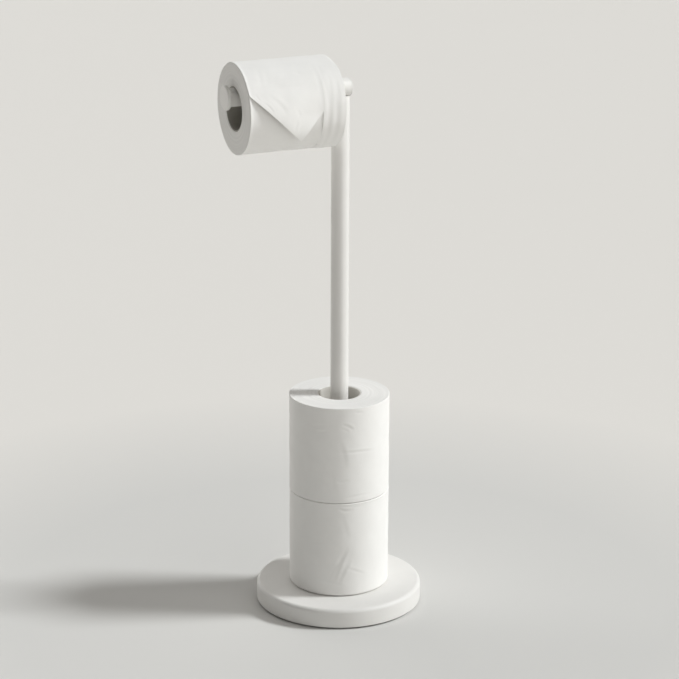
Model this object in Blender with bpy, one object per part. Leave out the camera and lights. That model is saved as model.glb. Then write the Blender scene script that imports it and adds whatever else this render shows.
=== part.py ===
"""A freestanding toilet paper holder, as an assembly of its separate pieces.

A weighted round base carries an upright tube. A horizontal arm stands on top of the upright, held by
a D-shaped pin that drops into a bush, so the arm lifts off. A part-used roll hangs on the arm, and two
spare rolls stand on the base round the upright.

Lengths are in metres and +Z is up. The origin is on the floor, under the axis of the upright. The arm
points along -X, and the front of the hanging roll faces -Y.
"""

import math

import bmesh
import bpy
from mathutils import Vector

# Gaps between neighbouring pieces
REST_GAP = 0.0003
FIT_GAP = 0.00015
SLIDE_GAP = 0.0002

# How far a cut runs past a face, and how near the axis a turned point counts as on it
CUT_OVERRUN = 0.001
AXIS_REACH = 0.000002

# Base
BASE_DIAMETER = 0.167
COVER_HEIGHT = 0.0192
COVER_WALL = 0.0016
COVER_EDGE_RADIUS = 0.004
COVER_FOOT_RADIUS = 0.0007
PAD_THICKNESS = 0.0015
PAD_INSET = 0.0045
PLATE_THICKNESS = 0.002
PLATE_HOLE_DIAMETER = 0.020
PLATE_SCREW_INSET = 0.0285
PLATE_SCREW_COUNT = 3
PLATE_SCREW_LENGTH = 0.009
PLATE_SCREW_DIAMETER = 0.004
PLATE_SCREW_HEAD_DIAMETER = 0.0075
PLATE_SCREW_SOCKET = 0.0025
PLATE_SCREW_SOCKET_DEPTH = 0.0011

# Bolt that joins the base to the upright
BOLT_DIAMETER = 0.008
BOLT_LENGTH = 0.030
BOLT_HEAD_WIDTH = 0.013
BOLT_HEAD_HEIGHT = 0.0053
BOLT_SEAT_DEPTH = 0.0095
BOLT_SEAT_DIAMETER = 0.018
WASHER_DIAMETER = 0.016
WASHER_THICKNESS = 0.0016
SPRING_WASHER_DIAMETER = 0.0148
SPRING_WASHER_THICKNESS = 0.002
SPRING_WASHER_SPLIT = 0.0015

# Tube of the upright and the arm
TUBE_DIAMETER = 0.018
TUBE_WALL = 0.0012
TUBE_RIM_CHAMFER = 0.0003
POST_LENGTH = 0.503
FOOT_INSERT_LENGTH = 0.030

# Arm, measured from the axis of the upright
ARM_REACH = 0.117
ARM_REAR_REACH = 0.0094
REAR_BLOCK_RIM = 0.0012
REAR_BLOCK_LENGTH = 0.024
REAR_BLOCK_CHAMFER = 0.0006
END_CAP_DIAMETER = 0.024
END_CAP_THICKNESS = 0.0035
END_CAP_EDGE_RADIUS = 0.0012
END_CAP_STUD_DIAMETER = 0.006
END_CAP_STUD_LENGTH = 0.010
FRONT_PLUG_LENGTH = 0.016

# Pin under the arm and the bush that it drops into
SPIGOT_DIAMETER = 0.011
SPIGOT_FLAT_DEPTH = 0.0013
SPIGOT_REACH = 0.040
SPIGOT_SEAT = 0.006
SPIGOT_WEB = 0.006
BUSH_LENGTH = 0.045
SPIGOT_SCREW_DIAMETER = 0.004
SPIGOT_SCREW_LENGTH = 0.018
SPIGOT_SCREW_HEAD_DIAMETER = 0.007
SPIGOT_SCREW_HEAD_HEIGHT = 0.004
SPIGOT_SCREW_SOCKET = 0.003
SPIGOT_SCREW_SOCKET_DEPTH = 0.002

# Rolls
CORE_BORE = 0.0415
CORE_WALL = 0.001
CORE_RECESS = 0.0005
SPARE_ROLL_DIAMETER = 0.100
SPARE_ROLL_LENGTH = 0.100
HANGING_ROLL_DIAMETER = 0.0885
HANGING_ROLL_LENGTH = 0.0965
HANGING_ROLL_START = 0.0141
PAPER_RIM_RADIUS = 0.002
PAPER_BORE_RADIUS = 0.001

# Last sheet of the hanging roll, folded to a point and lying round the roll
SHEET_THICKNESS = 0.0005
SHEET_BEHIND_TOP = 0.0145
SHEET_SHOULDER_BELOW_TOP = 0.049
SHEET_POINT_BELOW_TOP = 0.0945
SHEET_POINT_OFFSET = 0.0036
SHEET_POINT_WIDTH = 0.003
SHEET_POINT_LIFT = 0.0055
SHEET_LIFT_POWER = 1.5
SHEET_SIDE_INSET = 0.0003

# Counts of facets
BASE_SEGMENTS = 72
TURNED_SEGMENTS = 48
CORE_SEGMENTS = 32
SMALL_SEGMENTS = 24
EDGE_STEPS = 3
SHEET_ROWS = 24
SHEET_COLUMNS = 8
HEX_SIDES = 6
SMOOTH_ANGLE = math.radians(40)

# Levels and radii that follow from the sizes above
BASE_RADIUS = BASE_DIAMETER / 2
COVER_LOW = PAD_THICKNESS + REST_GAP
COVER_TOP = COVER_LOW + COVER_HEIGHT
COVER_CEILING = COVER_TOP - COVER_WALL
INSIDE_RADIUS = BASE_RADIUS - COVER_WALL - REST_GAP
PLATE_TOP = COVER_LOW + PLATE_THICKNESS
WEIGHT_LOW = PLATE_TOP + REST_GAP
WEIGHT_TOP = COVER_CEILING - REST_GAP
BOLT_SEAT_LEVEL = WEIGHT_LOW + BOLT_SEAT_DEPTH
WASHER_LOW = BOLT_SEAT_LEVEL - REST_GAP - WASHER_THICKNESS
SPRING_WASHER_LOW = WASHER_LOW - REST_GAP - SPRING_WASHER_THICKNESS
BOLT_HEAD_TOP = SPRING_WASHER_LOW - REST_GAP
TUBE_RADIUS = TUBE_DIAMETER / 2
TUBE_BORE_RADIUS = TUBE_RADIUS - TUBE_WALL
PLUG_RADIUS = TUBE_BORE_RADIUS - FIT_GAP
POST_LOW = COVER_TOP + REST_GAP
POST_TOP = POST_LOW + POST_LENGTH
ARM_UNDERSIDE = POST_TOP + REST_GAP
ARM_AXIS = ARM_UNDERSIDE + TUBE_RADIUS
ARM_TUBE_REAR = ARM_REAR_REACH - REAR_BLOCK_RIM - REST_GAP
ARM_TUBE_FRONT = ARM_REACH - REST_GAP
SPIGOT_RADIUS = SPIGOT_DIAMETER / 2
SPIGOT_TOP = ARM_UNDERSIDE + SPIGOT_SEAT
SPIGOT_LOW = ARM_UNDERSIDE - SPIGOT_REACH
SPIGOT_WEB_LOW = ARM_UNDERSIDE - SPIGOT_WEB
SPIGOT_SCREW_HEAD_TOP = SPIGOT_WEB_LOW - REST_GAP
CORE_RADIUS = CORE_BORE / 2 + CORE_WALL
HANGING_ROLL_RADIUS = HANGING_ROLL_DIAMETER / 2
HANGING_ROLL_AXIS = ARM_AXIS + TUBE_RADIUS + REST_GAP - CORE_BORE / 2
LOWER_ROLL_LOW = COVER_TOP + REST_GAP
UPPER_ROLL_LOW = LOWER_ROLL_LOW + SPARE_ROLL_LENGTH + REST_GAP

# Turn that lays a piece's own Z along -X, which is the way the arm points
ALONG_ARM = (0.0, -math.pi / 2, 0.0)
UPRIGHT = (0.0, 0.0, 0.0)


def clear_scene():
    """Removes whatever the open scene holds."""
    for old in list(bpy.data.objects):
        bpy.data.objects.remove(old, do_unlink=True)


def finish(name, colour, roughness, metallic):
    """A plain material of one piece."""
    material = bpy.data.materials.new(name)
    material.use_nodes = True
    shader = material.node_tree.nodes["Principled BSDF"]
    shader.inputs["Base Color"].default_value = (*colour, 1.0)
    shader.inputs["Roughness"].default_value = roughness
    shader.inputs["Metallic"].default_value = metallic
    material.diffuse_color = (*colour, 1.0)
    return material


def white_paint(name):
    """Matt white powder coat."""
    return finish(name + "_paint", (0.80, 0.79, 0.76), 0.55, 0.0)


def bare_steel(name):
    """Zinc plated or plain steel."""
    return finish(name + "_steel", (0.55, 0.56, 0.57), 0.35, 1.0)


def tissue(name):
    """White wound paper."""
    return finish(name + "_tissue", (0.86, 0.85, 0.83), 0.95, 0.0)


def core_card(name):
    """Pale card of a roll's core."""
    return finish(name + "_card", (0.62, 0.58, 0.52), 0.9, 0.0)


def empty(name, place, parent=None):
    """An unseen axis that moving pieces hang on."""
    axis = bpy.data.objects.new(name, None)
    bpy.context.scene.collection.objects.link(axis)
    axis.parent = parent
    axis.location = Vector(place) - world_place(parent)
    return axis


def world_place(axis):
    """Where an empty stands, adding up its parents, none of which is turned."""
    if axis is None:
        return Vector((0.0, 0.0, 0.0))
    return axis.location + world_place(axis.parent)


def add_object(name, mesh, material, place, turn=UPRIGHT, parent=None):
    """Puts a mesh in the scene at a place of the whole part, hung on an empty if one is given."""
    piece = bpy.data.objects.new(name, mesh)
    bpy.context.scene.collection.objects.link(piece)
    piece.parent = parent
    piece.location = Vector(place) - world_place(parent)
    piece.rotation_euler = turn
    if material is not None:
        mesh.materials.append(material)
    mesh.shade_smooth()
    mesh.set_sharp_from_angle(angle=SMOOTH_ANGLE)
    return piece


def mesh_from(name, shape):
    """Turns a bmesh into a mesh whose faces point outwards."""
    bmesh.ops.recalc_face_normals(shape, faces=shape.faces)
    mesh = bpy.data.meshes.new(name)
    shape.to_mesh(mesh)
    shape.free()
    return mesh


def arc(centre_r, centre_z, radius, start_deg, end_deg):
    """Points of a round edge in a turned outline, as (radius, height) pairs."""
    points = []
    for step in range(EDGE_STEPS + 1):
        angle = math.radians(start_deg + (end_deg - start_deg) * step / EDGE_STEPS)
        points.append((centre_r + radius * math.cos(angle), centre_z + radius * math.sin(angle)))
    return points


def turned(name, outline, segments=TURNED_SEGMENTS):
    """Spins a closed outline of (radius, height) points round Z. Each end on the axis is one flat face."""
    shape = bmesh.new()
    corners = [shape.verts.new((radius, 0.0, height)) for radius, height in outline]
    edges = []
    for start, end in zip(corners, corners[1:] + corners[:1]):
        if start.co.x or end.co.x:
            edges.append(shape.edges.new((start, end)))
    bmesh.ops.spin(
        shape,
        geom=corners + edges,
        cent=(0.0, 0.0, 0.0),
        axis=(0.0, 0.0, 1.0),
        angle=math.tau,
        steps=segments,
        use_merge=True,
    )
    on_axis = [vert for vert in shape.verts if math.hypot(vert.co.x, vert.co.y) < AXIS_REACH]
    bmesh.ops.remove_doubles(shape, verts=on_axis, dist=AXIS_REACH)
    centres = [vert for vert in shape.verts if math.hypot(vert.co.x, vert.co.y) < AXIS_REACH]
    bmesh.ops.dissolve_verts(shape, verts=centres)
    return mesh_from(name, shape)


def disc(radius, low, high):
    """Outline of a plain solid disc or rod."""
    return [(0.0, low), (radius, low), (radius, high), (0.0, high)]


def ring(inner, outer, low, high):
    """Outline of a plain ring or tube."""
    return [(inner, low), (outer, low), (outer, high), (inner, high)]


def chamfered_ring(inner, outer, low, high, chamfer):
    """Outline of a tube whose outer rims are broken by a small chamfer."""
    return [
        (inner, low),
        (outer - chamfer, low),
        (outer, low + chamfer),
        (outer, high - chamfer),
        (outer - chamfer, high),
        (inner, high),
    ]


def prism(name, outline, low, high):
    """Extrudes a flat outline of (x, y) points from one height to another."""
    shape = bmesh.new()
    face = shape.faces.new([shape.verts.new((x, y, low)) for x, y in outline])
    grown = bmesh.ops.extrude_face_region(shape, geom=[face])
    risen = [item for item in grown["geom"] if isinstance(item, bmesh.types.BMVert)]
    bmesh.ops.translate(shape, verts=risen, vec=(0.0, 0.0, high - low))
    return mesh_from(name, shape)


def polygon(across_flats, sides=HEX_SIDES):
    """Outline of a regular polygon, given by its width across flats."""
    corner = across_flats / 2 / math.cos(math.pi / sides)
    return [
        (corner * math.cos(math.tau * i / sides), corner * math.sin(math.tau * i / sides))
        for i in range(sides)
    ]


def d_outline(radius, flat_depth):
    """Outline of a round bar with one flat, which faces +Y."""
    flat = radius - flat_depth
    start = math.asin(flat / radius)
    sweep = math.pi + 2 * start
    return [
        (
            radius * math.cos(start - sweep * i / SMALL_SEGMENTS),
            radius * math.sin(start - sweep * i / SMALL_SEGMENTS),
        )
        for i in range(SMALL_SEGMENTS + 1)
    ]


def block(name, width_x, width_y, low, high):
    """A rectangular block standing over the origin."""
    half_x = width_x / 2
    half_y = width_y / 2
    corners = [(half_x, half_y), (-half_x, half_y), (-half_x, -half_y), (half_x, -half_y)]
    return prism(name, corners, low, high)


def cut(piece, mesh, place, turn=UPRIGHT):
    """Cuts a mesh out of a piece with a Boolean, and keeps the cutter as a hidden helper."""
    cutter = add_object(piece.name + "_cutter", mesh, None, place, turn, piece.parent)
    cutter.hide_render = True
    cutter.display_type = "WIRE"
    boolean = piece.modifiers.new("cut", "BOOLEAN")
    boolean.operation = "DIFFERENCE"
    boolean.solver = "EXACT"
    boolean.object = cutter


def screw_circle():
    """Places of the base plate's screws, on the floor plane, set in from the rim of the base."""
    radius = BASE_RADIUS - PLATE_SCREW_INSET
    places = []
    for i in range(PLATE_SCREW_COUNT):
        angle = math.pi / 2 + math.tau * i / PLATE_SCREW_COUNT
        places.append((radius * math.cos(angle), radius * math.sin(angle), 0.0))
    return places


def make_base_pad():
    """Anti-slip foam disc, set in from the rim and stuck over the plate."""
    mesh = turned("base_pad", disc(BASE_RADIUS - PAD_INSET, 0.0, PAD_THICKNESS), BASE_SEGMENTS)
    material = finish("base_pad_foam", (0.06, 0.06, 0.06), 0.9, 0.0)
    add_object("base_pad", mesh, material, (0.0, 0.0, 0.0))


def make_base_cover():
    """Pressed cover with a rounded top edge, open underneath, with a hole for the bolt."""
    hole = BOLT_DIAMETER / 2 + REST_GAP
    edge_centre = BASE_RADIUS - COVER_EDGE_RADIUS
    edge_level = COVER_HEIGHT - COVER_EDGE_RADIUS
    foot_centre = BASE_RADIUS - COVER_FOOT_RADIUS
    outline = [(hole, COVER_HEIGHT)]
    outline += arc(edge_centre, edge_level, COVER_EDGE_RADIUS, 90, 0)
    outline += arc(foot_centre, COVER_FOOT_RADIUS, COVER_FOOT_RADIUS, 0, -90)
    outline += [(BASE_RADIUS - COVER_WALL, 0.0)]
    outline += arc(edge_centre, edge_level, COVER_EDGE_RADIUS - COVER_WALL, 0, 90)
    outline += [(hole, COVER_HEIGHT - COVER_WALL)]
    mesh = turned("base_cover", outline, BASE_SEGMENTS)
    add_object("base_cover", mesh, white_paint("base_cover"), (0.0, 0.0, COVER_LOW))


def make_base_weight():
    """Cast ballast that fills the cover, with a seat for the bolt's head and holes for the screws."""
    chamfer = COVER_EDGE_RADIUS
    height = WEIGHT_TOP - WEIGHT_LOW
    outline = [(0.0, 0.0), (INSIDE_RADIUS, 0.0), (INSIDE_RADIUS, height - chamfer)]
    outline += [(INSIDE_RADIUS - chamfer, height), (0.0, height)]
    mesh = turned("base_weight", outline, BASE_SEGMENTS)
    material = finish("base_weight_iron", (0.20, 0.20, 0.21), 0.7, 0.6)
    weight = add_object("base_weight", mesh, material, (0.0, 0.0, WEIGHT_LOW))
    bolt_hole = BOLT_DIAMETER / 2 + REST_GAP
    seat = [
        (0.0, -CUT_OVERRUN),
        (BOLT_SEAT_DIAMETER / 2, -CUT_OVERRUN),
        (BOLT_SEAT_DIAMETER / 2, BOLT_SEAT_DEPTH),
        (bolt_hole, BOLT_SEAT_DEPTH),
        (bolt_hole, height + CUT_OVERRUN),
        (0.0, height + CUT_OVERRUN),
    ]
    cut(weight, turned("bolt_seat", seat, CORE_SEGMENTS), (0.0, 0.0, WEIGHT_LOW))
    tip = COVER_LOW + PLATE_SCREW_LENGTH + REST_GAP
    thread = disc(PLATE_SCREW_DIAMETER / 2 + FIT_GAP, WEIGHT_LOW - CUT_OVERRUN, tip)
    for place in screw_circle():
        cut(weight, turned("screw_thread", thread, SMALL_SEGMENTS), place)


def make_base_plate():
    """Round plate that closes the cover, with a hole for the bolt's spanner and countersunk holes."""
    outline = ring(PLATE_HOLE_DIAMETER / 2, INSIDE_RADIUS, 0.0, PLATE_THICKNESS)
    mesh = turned("base_plate", outline, BASE_SEGMENTS)
    plate = add_object("base_plate", mesh, bare_steel("base_plate"), (0.0, 0.0, COVER_LOW))
    head = PLATE_SCREW_HEAD_DIAMETER / 2 + REST_GAP
    shank = PLATE_SCREW_DIAMETER / 2 + REST_GAP
    hole = [
        (0.0, COVER_LOW - CUT_OVERRUN),
        (head, COVER_LOW - CUT_OVERRUN),
        (head, COVER_LOW),
        (shank, COVER_LOW + head - shank),
        (shank, PLATE_TOP + CUT_OVERRUN),
        (0.0, PLATE_TOP + CUT_OVERRUN),
    ]
    for place in screw_circle():
        cut(plate, turned("countersink", hole, SMALL_SEGMENTS), place)


def make_base_plate_screws():
    """Countersunk screws that hold the plate to the weight, their heads flush with the plate."""
    head = PLATE_SCREW_HEAD_DIAMETER / 2
    shank = PLATE_SCREW_DIAMETER / 2
    outline = [
        (0.0, COVER_LOW),
        (head, COVER_LOW),
        (shank, COVER_LOW + head - shank),
        (shank, COVER_LOW + PLATE_SCREW_LENGTH),
        (0.0, COVER_LOW + PLATE_SCREW_LENGTH),
    ]
    for number, place in enumerate(screw_circle(), 1):
        name = f"base_plate_screw_{number}"
        screw = add_object(name, turned(name, outline, SMALL_SEGMENTS), bare_steel(name), place)
        socket_top = COVER_LOW + PLATE_SCREW_SOCKET_DEPTH
        socket = prism("socket", polygon(PLATE_SCREW_SOCKET), COVER_LOW - CUT_OVERRUN, socket_top)
        cut(screw, socket, place)


def make_post_bolt():
    """Hexagon bolt from under the base into the foot of the upright."""
    rod = disc(BOLT_DIAMETER / 2, -BOLT_HEAD_HEIGHT / 2, BOLT_LENGTH)
    shank = turned("post_bolt", rod, SMALL_SEGMENTS)
    bolt = add_object("post_bolt", shank, bare_steel("post_bolt"), (0.0, 0.0, BOLT_HEAD_TOP))
    head_mesh = prism("post_bolt_head", polygon(BOLT_HEAD_WIDTH), -BOLT_HEAD_HEIGHT, 0.0)
    head = add_object("post_bolt_head", head_mesh, None, (0.0, 0.0, BOLT_HEAD_TOP))
    head.hide_render = True
    head.display_type = "WIRE"
    join = bolt.modifiers.new("head", "BOOLEAN")
    join.operation = "UNION"
    join.solver = "EXACT"
    join.object = head


def make_washers():
    """Flat washer against the weight, and a split spring washer under the bolt's head."""
    bore = BOLT_DIAMETER / 2 + SLIDE_GAP
    flat = ring(bore, WASHER_DIAMETER / 2, 0.0, WASHER_THICKNESS)
    mesh = turned("post_bolt_washer", flat, SMALL_SEGMENTS)
    add_object("post_bolt_washer", mesh, bare_steel("post_bolt_washer"), (0.0, 0.0, WASHER_LOW))
    name = "post_bolt_spring_washer"
    outer = SPRING_WASHER_DIAMETER / 2
    mesh = turned(name, ring(bore, outer, 0.0, SPRING_WASHER_THICKNESS), SMALL_SEGMENTS)
    place = (0.0, 0.0, SPRING_WASHER_LOW)
    spring = add_object(name, mesh, bare_steel(name), place)
    high = SPRING_WASHER_THICKNESS + CUT_OVERRUN
    split = block("split", outer + CUT_OVERRUN, SPRING_WASHER_SPLIT, -CUT_OVERRUN, high)
    cut(spring, split, ((outer + CUT_OVERRUN) / 2, 0.0, SPRING_WASHER_LOW))


def make_post():
    """Upright tube, the threaded insert in its foot and the bush in its top."""
    outline = chamfered_ring(TUBE_BORE_RADIUS, TUBE_RADIUS, 0.0, POST_LENGTH, TUBE_RIM_CHAMFER)
    mesh = turned("post_tube", outline)
    add_object("post_tube", mesh, white_paint("post_tube"), (0.0, 0.0, POST_LOW))
    insert = ring(BOLT_DIAMETER / 2 + FIT_GAP, PLUG_RADIUS, 0.0, FOOT_INSERT_LENGTH)
    mesh = turned("post_foot_insert", insert, CORE_SEGMENTS)
    add_object("post_foot_insert", mesh, bare_steel("post_foot_insert"), (0.0, 0.0, POST_LOW))
    mesh = turned("post_top_bush", disc(PLUG_RADIUS, 0.0, BUSH_LENGTH), CORE_SEGMENTS)
    material = finish("post_top_bush_nylon", (0.75, 0.74, 0.71), 0.5, 0.0)
    place = (0.0, 0.0, POST_TOP - BUSH_LENGTH)
    bush = add_object("post_top_bush", mesh, material, place)
    bore = d_outline(SPIGOT_RADIUS + SLIDE_GAP, SPIGOT_FLAT_DEPTH)
    cut(bush, prism("spigot_way", bore, -CUT_OVERRUN, BUSH_LENGTH + CUT_OVERRUN), place)


def make_arm_tube(arm):
    """Horizontal tube, with a hole underneath for the pin."""
    length = ARM_TUBE_REAR + ARM_TUBE_FRONT
    outline = chamfered_ring(TUBE_BORE_RADIUS, TUBE_RADIUS, 0.0, length, TUBE_RIM_CHAMFER)
    mesh = turned("arm_tube", outline)
    place = (ARM_TUBE_REAR, 0.0, ARM_AXIS)
    tube = add_object("arm_tube", mesh, white_paint("arm_tube"), place, ALONG_ARM, arm)
    hole = disc(SPIGOT_RADIUS + SLIDE_GAP, ARM_UNDERSIDE - CUT_OVERRUN, ARM_AXIS)
    cut(tube, turned("spigot_hole", hole), (0.0, 0.0, 0.0))


def make_arm_rear_block(arm):
    """Turned block that closes the arm's rear end, with a seat and a thread for the pin underneath."""
    rim = TUBE_RADIUS
    chamfer = REAR_BLOCK_CHAMFER
    outline = [
        (0.0, 0.0),
        (rim - chamfer, 0.0),
        (rim, chamfer),
        (rim, REAR_BLOCK_RIM),
        (PLUG_RADIUS, REAR_BLOCK_RIM),
        (PLUG_RADIUS, REAR_BLOCK_LENGTH),
        (0.0, REAR_BLOCK_LENGTH),
    ]
    mesh = turned("arm_rear_block", outline)
    place = (ARM_REAR_REACH, 0.0, ARM_AXIS)
    material = white_paint("arm_rear_block")
    piece = add_object("arm_rear_block", mesh, material, place, ALONG_ARM, arm)
    seat = SPIGOT_RADIUS + SLIDE_GAP
    thread = SPIGOT_SCREW_DIAMETER / 2 + FIT_GAP
    thread_top = SPIGOT_SCREW_HEAD_TOP + SPIGOT_SCREW_LENGTH + REST_GAP
    well = [
        (0.0, ARM_UNDERSIDE - CUT_OVERRUN),
        (seat, ARM_UNDERSIDE - CUT_OVERRUN),
        (seat, SPIGOT_TOP + REST_GAP),
        (thread, SPIGOT_TOP + REST_GAP),
        (thread, thread_top),
        (0.0, thread_top),
    ]
    cut(piece, turned("spigot_well", well), (0.0, 0.0, 0.0))


def make_spigot(arm):
    """D-shaped pin under the arm, bored from below for the screw that pulls it up."""
    mesh = prism("arm_spigot", d_outline(SPIGOT_RADIUS, SPIGOT_FLAT_DEPTH), SPIGOT_LOW, SPIGOT_TOP)
    spigot = add_object("arm_spigot", mesh, bare_steel("arm_spigot"), (0.0, 0.0, 0.0), UPRIGHT, arm)
    head = SPIGOT_SCREW_HEAD_DIAMETER / 2 + REST_GAP
    shank = SPIGOT_SCREW_DIAMETER / 2 + FIT_GAP
    bore = [
        (0.0, SPIGOT_LOW - CUT_OVERRUN),
        (head, SPIGOT_LOW - CUT_OVERRUN),
        (head, SPIGOT_WEB_LOW),
        (shank, SPIGOT_WEB_LOW),
        (shank, SPIGOT_TOP + CUT_OVERRUN),
        (0.0, SPIGOT_TOP + CUT_OVERRUN),
    ]
    cut(spigot, turned("screw_way", bore, SMALL_SEGMENTS), (0.0, 0.0, 0.0))


def make_spigot_screw(arm):
    """Socket head screw up through the pin into the block in the arm."""
    head = SPIGOT_SCREW_HEAD_DIAMETER / 2
    shank = SPIGOT_SCREW_DIAMETER / 2
    outline = [
        (0.0, -SPIGOT_SCREW_HEAD_HEIGHT),
        (head, -SPIGOT_SCREW_HEAD_HEIGHT),
        (head, 0.0),
        (shank, 0.0),
        (shank, SPIGOT_SCREW_LENGTH),
        (0.0, SPIGOT_SCREW_LENGTH),
    ]
    place = (0.0, 0.0, SPIGOT_SCREW_HEAD_TOP)
    mesh = turned("arm_spigot_screw", outline, SMALL_SEGMENTS)
    material = bare_steel("arm_spigot_screw")
    screw = add_object("arm_spigot_screw", mesh, material, place, UPRIGHT, arm)
    low = -SPIGOT_SCREW_HEAD_HEIGHT - CUT_OVERRUN
    high = SPIGOT_SCREW_SOCKET_DEPTH - SPIGOT_SCREW_HEAD_HEIGHT
    cut(screw, prism("socket", polygon(SPIGOT_SCREW_SOCKET), low, high), place)


def make_arm_end(arm):
    """Threaded plug in the arm's free end, and the cap whose stud screws into it."""
    stud = END_CAP_STUD_DIAMETER / 2
    outline = ring(stud + FIT_GAP, PLUG_RADIUS, 0.0, FRONT_PLUG_LENGTH)
    plug_place = (FRONT_PLUG_LENGTH - ARM_TUBE_FRONT, 0.0, ARM_AXIS)
    mesh = turned("arm_front_plug", outline, CORE_SEGMENTS)
    add_object("arm_front_plug", mesh, bare_steel("arm_front_plug"), plug_place, ALONG_ARM, arm)
    centre = END_CAP_DIAMETER / 2 - END_CAP_EDGE_RADIUS
    outline = [(0.0, -END_CAP_STUD_LENGTH), (stud, -END_CAP_STUD_LENGTH), (stud, 0.0)]
    outline += arc(centre, END_CAP_EDGE_RADIUS, END_CAP_EDGE_RADIUS, -90, 0)
    outline += arc(centre, END_CAP_THICKNESS - END_CAP_EDGE_RADIUS, END_CAP_EDGE_RADIUS, 0, 90)
    outline += [(0.0, END_CAP_THICKNESS)]
    mesh = turned("arm_end_cap", outline, CORE_SEGMENTS)
    material = white_paint("arm_end_cap")
    add_object("arm_end_cap", mesh, material, (-ARM_REACH, 0.0, ARM_AXIS), ALONG_ARM, arm)


def paper_outline(diameter, length):
    """Outline of wound paper, with softly rounded rims."""
    outer = diameter / 2
    inner = CORE_RADIUS + FIT_GAP
    rim = PAPER_RIM_RADIUS
    lip = PAPER_BORE_RADIUS
    outline = [(inner, lip), (inner + lip, 0.0)]
    outline += arc(outer - rim, rim, rim, -90, 0)
    outline += arc(outer - rim, length - rim, rim, 0, 90)
    outline += [(inner + lip, length), (inner, length - lip)]
    return outline


def make_roll(name, diameter, length, place, turn, parent):
    """A card core and the paper wound on it, as two pieces."""
    mesh = turned(name + "_paper", paper_outline(diameter, length))
    add_object(name + "_paper", mesh, tissue(name), place, turn, parent)
    core = ring(CORE_BORE / 2, CORE_RADIUS, CORE_RECESS, length - CORE_RECESS)
    mesh = turned(name + "_core", core, CORE_SEGMENTS)
    add_object(name + "_core", mesh, core_card(name), place, turn, parent)


def below_shoulder_share(below_top):
    """Share of the way from the folded sheet's shoulders to its point, and 0 above the shoulders."""
    drop = SHEET_POINT_BELOW_TOP - SHEET_SHOULDER_BELOW_TOP
    return max(0.0, (below_top - SHEET_SHOULDER_BELOW_TOP) / drop)


def sheet_edges(below_top):
    """The folded sheet's two edges along the roll, at a distance round it below its top line."""
    share = below_shoulder_share(below_top)
    point = HANGING_ROLL_LENGTH / 2 - SHEET_POINT_OFFSET
    shoulders = (SHEET_SIDE_INSET, HANGING_ROLL_LENGTH - SHEET_SIDE_INSET)
    tips = (point - SHEET_POINT_WIDTH / 2, point + SHEET_POINT_WIDTH / 2)
    return [start + (end - start) * share for start, end in zip(shoulders, tips)]


def sheet_lift(below_top):
    """How far the folded sheet stands off the roll: nothing at its shoulders, most at its point."""
    return SHEET_POINT_LIFT * below_shoulder_share(below_top) ** SHEET_LIFT_POWER


def make_folded_sheet(spin):
    """The last sheet, from its perforation behind the top down the front to its folded point."""
    shape = bmesh.new()
    rows = []
    for row in range(SHEET_ROWS + 1):
        travel = (SHEET_BEHIND_TOP + SHEET_POINT_BELOW_TOP) * row / SHEET_ROWS
        below_top = travel - SHEET_BEHIND_TOP
        reach = HANGING_ROLL_RADIUS + REST_GAP + SHEET_THICKNESS / 2 + sheet_lift(below_top)
        angle = below_top / HANGING_ROLL_RADIUS
        near_edge, far_edge = sheet_edges(below_top)
        verts = []
        for column in range(SHEET_COLUMNS + 1):
            along = near_edge + (far_edge - near_edge) * column / SHEET_COLUMNS
            verts.append(shape.verts.new((reach * math.cos(angle), -reach * math.sin(angle), along)))
        rows.append(verts)
    for upper, lower in zip(rows, rows[1:]):
        for column in range(SHEET_COLUMNS):
            corners = (upper[column], upper[column + 1], lower[column + 1], lower[column])
            shape.faces.new(corners)
    name = "hanging_roll_folded_sheet"
    mesh = mesh_from(name, shape)
    place = (-HANGING_ROLL_START, 0.0, HANGING_ROLL_AXIS)
    sheet = add_object(name, mesh, tissue(name), place, ALONG_ARM, spin)
    thicken = sheet.modifiers.new("thickness", "SOLIDIFY")
    thicken.thickness = SHEET_THICKNESS
    thicken.offset = 0.0


def make_rolls(arm):
    """The hanging roll on the arm, and the two spare rolls one on the other."""
    spin = empty("hanging_roll_axis", (-HANGING_ROLL_START, 0.0, HANGING_ROLL_AXIS), arm)
    place = (-HANGING_ROLL_START, 0.0, HANGING_ROLL_AXIS)
    make_roll("hanging_roll", HANGING_ROLL_DIAMETER, HANGING_ROLL_LENGTH, place, ALONG_ARM, spin)
    make_folded_sheet(spin)
    lower = empty("lower_roll_way", (0.0, 0.0, LOWER_ROLL_LOW))
    upper = empty("upper_roll_way", (0.0, 0.0, UPPER_ROLL_LOW), lower)
    for name, level, way in (
        ("lower_roll", LOWER_ROLL_LOW, lower),
        ("upper_roll", UPPER_ROLL_LOW, upper),
    ):
        place = (0.0, 0.0, level)
        make_roll(name, SPARE_ROLL_DIAMETER, SPARE_ROLL_LENGTH, place, UPRIGHT, way)


def make_base():
    """Everything between the floor and the foot of the upright."""
    make_base_pad()
    make_base_cover()
    make_base_weight()
    make_base_plate()
    make_base_plate_screws()
    make_post_bolt()
    make_washers()


def make_arm():
    """The lift-off arm with its pin, on an empty at the joint. Returns that empty."""
    arm = empty("arm_lift_axis", (0.0, 0.0, ARM_AXIS))
    make_arm_tube(arm)
    make_arm_rear_block(arm)
    make_spigot(arm)
    make_spigot_screw(arm)
    make_arm_end(arm)
    return arm


def main():
    """Models the whole holder."""
    clear_scene()
    make_base()
    make_post()
    make_rolls(make_arm())


main()
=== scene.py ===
import logging
import math
from collections import Counter
from collections.abc import Callable
from dataclasses import dataclass, field, replace
from enum import Enum

import bpy
import numpy as np
from mathutils import Matrix, Vector


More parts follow.
